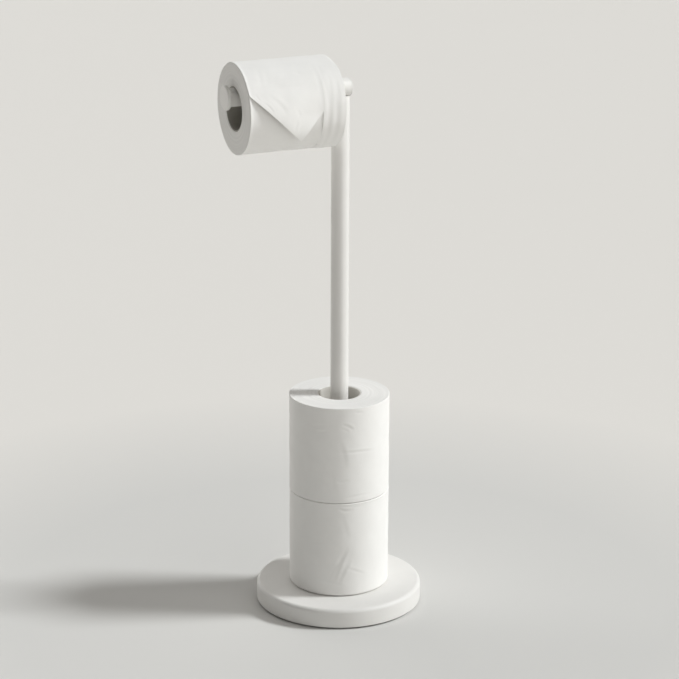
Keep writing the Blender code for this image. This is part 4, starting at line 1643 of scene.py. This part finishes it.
        seed = self.roll.seed + self.edge_seed_step
        wavy = SoftWaves(seed, self.edge_wave, self.edge_wave_count, self.edge_wave_round, 0.0)
        full_spots = []
        for level in upper:
            flap_spots = self.pleat + (self.left_edge(level, length) - self.pleat) * far
            full_spots.append(np.concatenate([self.strip_places(level, near, wavy), flap_spots[1:]]))
        full = lay_rows(upper, full_spots)
        split = self.strip_columns
        flap_spots = [
            self.right_edge(level) + (self.left_edge(level, length) - self.right_edge(level)) * far
            for level in flap
        ]
        drift = smooth_step((strip - self.notch) / self.drift_reach) * self.pleat_drift / self.pleat
        places = [self.strip_places(level, near, wavy) for level in strip]
        strip_rows = lay_rows(strip, [spots * (1.0 - share) for spots, share in zip(places, drift)])
        flap_rows = lay_rows(flap, flap_spots)
        join(full)
        join([full[-1][: split + 1], *strip_rows])
        join([full[-1][split:], *flap_rows])
        edge = [row[-1] for row, level in zip(full, upper) if level >= self.shoulder]
        edge += [row[-1] for row in flap_rows]
        join(self.fold_under(edge, points, flats, length))
        flat = np.array(flats)
        corners = np.array(faces)
        first = flat[corners[:, 2]] - flat[corners[:, 0]]
        second = flat[corners[:, 3]] - flat[corners[:, 1]]
        self.flat_area = float(np.abs(first[:, 0] * second[:, 1] - first[:, 1] * second[:, 0]).sum() / 2)
        sheet = add_piece("hung_tail_sheet", np.vstack(points), faces)
        uses = Counter(key for face in sheet.data.polygons for key in face.edge_keys)
        for side in sheet.data.edges:
            side.use_edge_sharp = side.use_edge_sharp or uses[side.key] == 1
        thicken = sheet.modifiers.new("ply", "SOLIDIFY")
        thicken.thickness = self.thickness
        thicken.offset = 0.0
        body = self.roll.body
        node = self.roll.node + "_folded_sheet"
        settle(sheet, place, self.roll.lay, TISSUE.material(), Slot.TISSUE, body, node)

    def fold_under(
        self, edge: list[int], points: list[np.ndarray], flats: list[tuple[float, float]], length: float
    ) -> list[list[int]]:
        """Adds the corner that is folded back under the flap.

        Args:
            edge: numbers of the points along the folded edge.
            points: the sheet's points so far, which grow.
            flats: their places on the flat sheet, which grow.
            length: the roll's length.

        Returns:
            Rows of point numbers, each from the folded edge inwards.
        """
        end = np.array([length - self.side_inset, self.shoulder])
        tip = np.array([self.tip[0] + self.tip_width / 2, self.tip[1]])
        way = (tip - end) / np.linalg.norm(tip - end)
        corner_run = np.array([0.0, self.tip[1] - self.shoulder])
        turned_run = 2 * (way @ corner_run) * way - corner_run
        rows = []
        for number in edge:
            on_edge = np.array(flats[number])
            share = np.linalg.norm(on_edge - end) / np.linalg.norm(tip - end)
            target = end + turned_run * share
            steps = (np.arange(1, self.under_columns + 1) / self.under_columns) ** self.under_crowding
            spots = on_edge + (target - on_edge) * steps[:, None]
            along, below = spots[:, 0], spots[:, 1]
            top = self.top_offset(along, below, length)
            apart = self.ply_gap * (1.0 - np.exp(-steps * self.ply_gap_rate))
            offset = np.maximum(top - apart, self.under_least)
            points.append(self.placed(along, below, offset))
            rows.append([number, *range(len(flats), len(flats) + len(spots))])
            flats.extend(map(tuple, spots))
        return rows


# The studio


@dataclass
class Studio:
    """A plain pale floor, soft light mostly from the right, and the photograph's camera.

    Ways are directions toward the lights, whose strengths are in watts to a square metre. The fill is the
    same from all round.
    """

    camera_place: tuple[float, float, float] = (-1.0133, -2.3577, 1.1184)
    heading_deg: float = 23.257
    pitch_deg: float = 18.146
    roll_deg: float = -0.221
    focal_px: float = 2712.9
    frame_px: float = 679.0
    sensor_mm: float = 36.0
    clip_end: float = 200.0
    floor_size: float = 60.0
    floor_roughness: float = 0.75
    floor_colour: Colour = (0.70, 0.695, 0.675)
    far_floor_colour: Colour = (0.825, 0.805, 0.77)
    key_way: tuple[float, float, float] = (0.698, -0.286, 0.656)
    key_strength: float = 2.44
    key_colour: Colour = (0.98, 1.0, 1.01)
    key_angle_deg: float = 12.0
    front_way: tuple[float, float, float] = (0.321, -0.804, 0.5)
    front_strength: float = 0.82
    left_way: tuple[float, float, float] = (-0.391, 0.888, 0.242)
    left_strength: float = 1.28
    back_way: tuple[float, float, float] = (0.371, 0.863, 0.342)
    back_strength: float = 0.52
    soft_angle_deg: float = 60.0
    soft_colour: Colour = (1.0, 0.985, 0.95)
    fill_colour: Colour = (1.0, 0.97, 0.935)
    fill_strength: float = 0.08

    def add_camera(self) -> None:
        """Sets up the camera with the photograph's place, direction and field of view."""
        heading, pitch, roll = (math.radians(a) for a in (self.heading_deg, self.pitch_deg, self.roll_deg))
        ahead = Vector((
            math.sin(heading) * math.cos(pitch), math.cos(heading) * math.cos(pitch), -math.sin(pitch)
        ))
        right = Vector((math.cos(heading), -math.sin(heading), 0.0))
        down = ahead.cross(right)
        across = right * math.cos(roll) + down * math.sin(roll)
        up = right * math.sin(roll) - down * math.cos(roll)
        data = bpy.data.cameras.new("photo_camera")
        data.sensor_width = self.sensor_mm
        data.lens = self.focal_px / self.frame_px * self.sensor_mm
        data.clip_end = self.clip_end
        camera = bpy.data.objects.new("photo_camera", data)
        bpy.context.scene.collection.objects.link(camera)
        turn = Matrix((across, up, -ahead)).transposed().to_4x4()
        camera.matrix_world = Matrix.Translation(self.camera_place) @ turn
        bpy.context.scene.camera = camera

    def add_floor(self) -> None:
        """Lays the plain pale floor."""
        half = self.floor_size / 2
        corners = np.array([(-half, -half, 0.0), (half, -half, 0.0), (half, half, 0.0), (-half, half, 0.0)])
        floor = add_piece("studio_floor", corners, [(0, 1, 2, 3)])
        finish = FloorFinish(
            "pale_floor", self.floor_colour, roughness=self.floor_roughness, far_colour=self.far_floor_colour
        )
        floor.data.materials.append(finish.material())

    def add_sun(
        self, name: str, way: tuple[float, float, float], strength: float, colour: Colour, angle_deg: float
    ) -> None:
        """Adds a soft light from far away.

        Args:
            name: the light's name.
            way: direction toward the light.
            strength: its strength.
            colour: its colour.
            angle_deg: how wide it looks from the object, which makes it soft.
        """
        light = bpy.data.lights.new(name, "SUN")
        light.energy = strength
        light.color = colour
        light.angle = math.radians(angle_deg)
        lamp = bpy.data.objects.new(name, light)
        lamp.rotation_mode = "QUATERNION"
        lamp.rotation_quaternion = Vector(way).to_track_quat("Z", "Y")
        bpy.context.scene.collection.objects.link(lamp)

    def add_light(self) -> None:
        """Adds the key light from the right, three softer ones, and a little light from all round."""
        self.add_sun("key_light", self.key_way, self.key_strength, self.key_colour, self.key_angle_deg)
        soft_lights = (
            ("front_glow", self.front_way, self.front_strength),
            ("left_glow", self.left_way, self.left_strength),
            ("back_glow", self.back_way, self.back_strength),
        )
        for name, way, strength in soft_lights:
            self.add_sun(name, way, strength, self.soft_colour, self.soft_angle_deg)
        world = bpy.data.worlds.new("pale_surroundings")
        world.use_nodes = True
        background = world.node_tree.nodes["Background"]
        background.inputs["Color"].default_value = shade(self.fill_colour)
        background.inputs["Strength"].default_value = self.fill_strength
        bpy.context.scene.world = world

    def build(self) -> None:
        """Sets up camera, floor and light."""
        bpy.context.scene.view_settings.view_transform = "Standard"
        self.add_camera()
        self.add_floor()
        self.add_light()


def spare_rolls() -> list[Roll]:
    """The two spare rolls, with the creases that the photograph shows and stray ones behind."""
    hidden_deg = (FACING_DEG + 80.0, FACING_DEG + 270.0)
    upper = [
        Crease((-144.1, 0.739), (-124.7, 0.758), 0.22 * MM, 1.5 * MM),
        Crease((-146.2, 0.802), (-126.2, 0.820), 0.16 * MM, 1.5 * MM),
        Crease((-109.5, 0.838), (-96.0, 0.778), 0.27 * MM, 1.6 * MM, 0.8 * MM, 0.8),
        Crease((-112.0, 0.800), (-101.0, 0.762), 0.17 * MM, 1.5 * MM, 0.5 * MM),
        Crease((-112.0, 0.545), (-68.0, 0.530), 0.26 * MM, 1.5 * MM, 0.6 * MM, 0.8),
        Crease((-95.5, 0.952), (-84.0, 0.945), 0.24 * MM, 1.2 * MM),
        Crease((-117.0, 0.226), (-101.0, 0.240), 0.24 * MM, 1.5 * MM),
        Crease((-108.0, 0.060), (-74.0, 0.085), 0.22 * MM, 1.3 * MM, 0.8 * MM),
        Crease((-133.0, 0.420), (-131.0, 0.330), 0.14 * MM, 1.6 * MM),
        Crease((-112.0, 0.660), (-105.0, 0.380), 0.17 * MM, 2.6 * MM, 1.0 * MM),
        Crease((-122.0, 0.300), (-117.0, 0.080), 0.14 * MM, 2.4 * MM, -0.8 * MM),
    ]
    lower = [
        Crease((-113.5, 0.926), (-96.0, 0.920), 0.40 * MM, 1.6 * MM, -2.2 * MM, 0.8),
        Crease((-110.0, 0.965), (-84.0, 0.955), 0.19 * MM, 1.3 * MM, -0.8 * MM),
        Crease((-104.4, 0.540), (-121.5, 0.140), 0.22 * MM, 2.3 * MM, -1.2 * MM, 0.8),
        Crease((-101.0, 0.400), (-116.0, 0.130), 0.18 * MM, 2.2 * MM, -0.8 * MM, 0.8),
        Crease((-109.5, 0.430), (-127.0, 0.170), 0.16 * MM, 1.8 * MM, -0.8 * MM),
        Crease((-144.9, 0.536), (-128.6, 0.557), 0.14 * MM, 1.5 * MM),
        Crease((-105.4, 0.310), (-80.9, 0.216), 0.16 * MM, 1.7 * MM),
        Crease((-140.0, 0.180), (-104.0, 0.110), 0.14 * MM, 1.6 * MM, 1.0 * MM),
        Crease((-110.0, 0.860), (-103.0, 0.620), 0.14 * MM, 2.6 * MM),
    ]
    return [
        Roll(
            "spare_lower", "lower_roll", Body.LOWER_ROLL, Lay.UPRIGHT, seed=21, rims=(2.7 * MM, 1.1 * MM),
            creases=lower + StrayCreases(seed=5, count=16, stretch_deg=hidden_deg).creases(),
            tail_deg=FACING_DEG + 150.0, swell=0.3 * MM,
            loose=LooseRim(
                flare=0.5 * MM, reach=2.0 * MM, bead=0.06 * MM, middle_deg=FACING_DEG + 35.0, fade=3.0
            ),
        ),
        Roll(
            "spare_upper", "upper_roll", Body.UPPER_ROLL, Lay.UPRIGHT, seed=34, rims=(1.2 * MM, 0.6 * MM),
            creases=upper + StrayCreases(seed=9, count=16, stretch_deg=hidden_deg).creases(),
            tail_deg=FACING_DEG + 205.0, swell=0.4 * MM,
            loose=LooseRim(
                flare=0.4 * MM, reach=2.2 * MM, bead=0.3 * MM, bead_width=0.9 * MM,
                middle_deg=FACING_DEG - 50.0, fade=3.0,
            ),
        ),
    ]


def hung_roll() -> Roll:
    """The part-used roll on the arm, whose last sheet lies over its top."""
    # Its tissue carries more painted shade on the end faces, and its card is painted darker as shade in the
    # bore
    return Roll(
        "hung", "hanging_roll", Body.HANGING_ROLL, Lay.ALONG_ARM, seed=55, rims=(3.0 * MM, 0.8 * MM),
        creases=StrayCreases(seed=13, count=14, stretch_deg=(20.0, 200.0)).creases(), tail_deg=24.0,
        tissue=END_SHADED_TISSUE, card=BORE_SHADED_CARD, loose=LooseRim(flare=0.55 * MM),
    )


def main() -> None:
    """Builds the studio and the holder's pieces in order."""
    logging.basicConfig(level=logging.INFO, format="%(message)s")
    Studio().build()
    Base().build()
    Upright().build()
    Arm().build()
    for roll in spare_rolls():
        roll.build()
    hung = hung_roll()
    hung.build()
    TailSheet(hung).build()


if __name__ == "__main__":
    main()
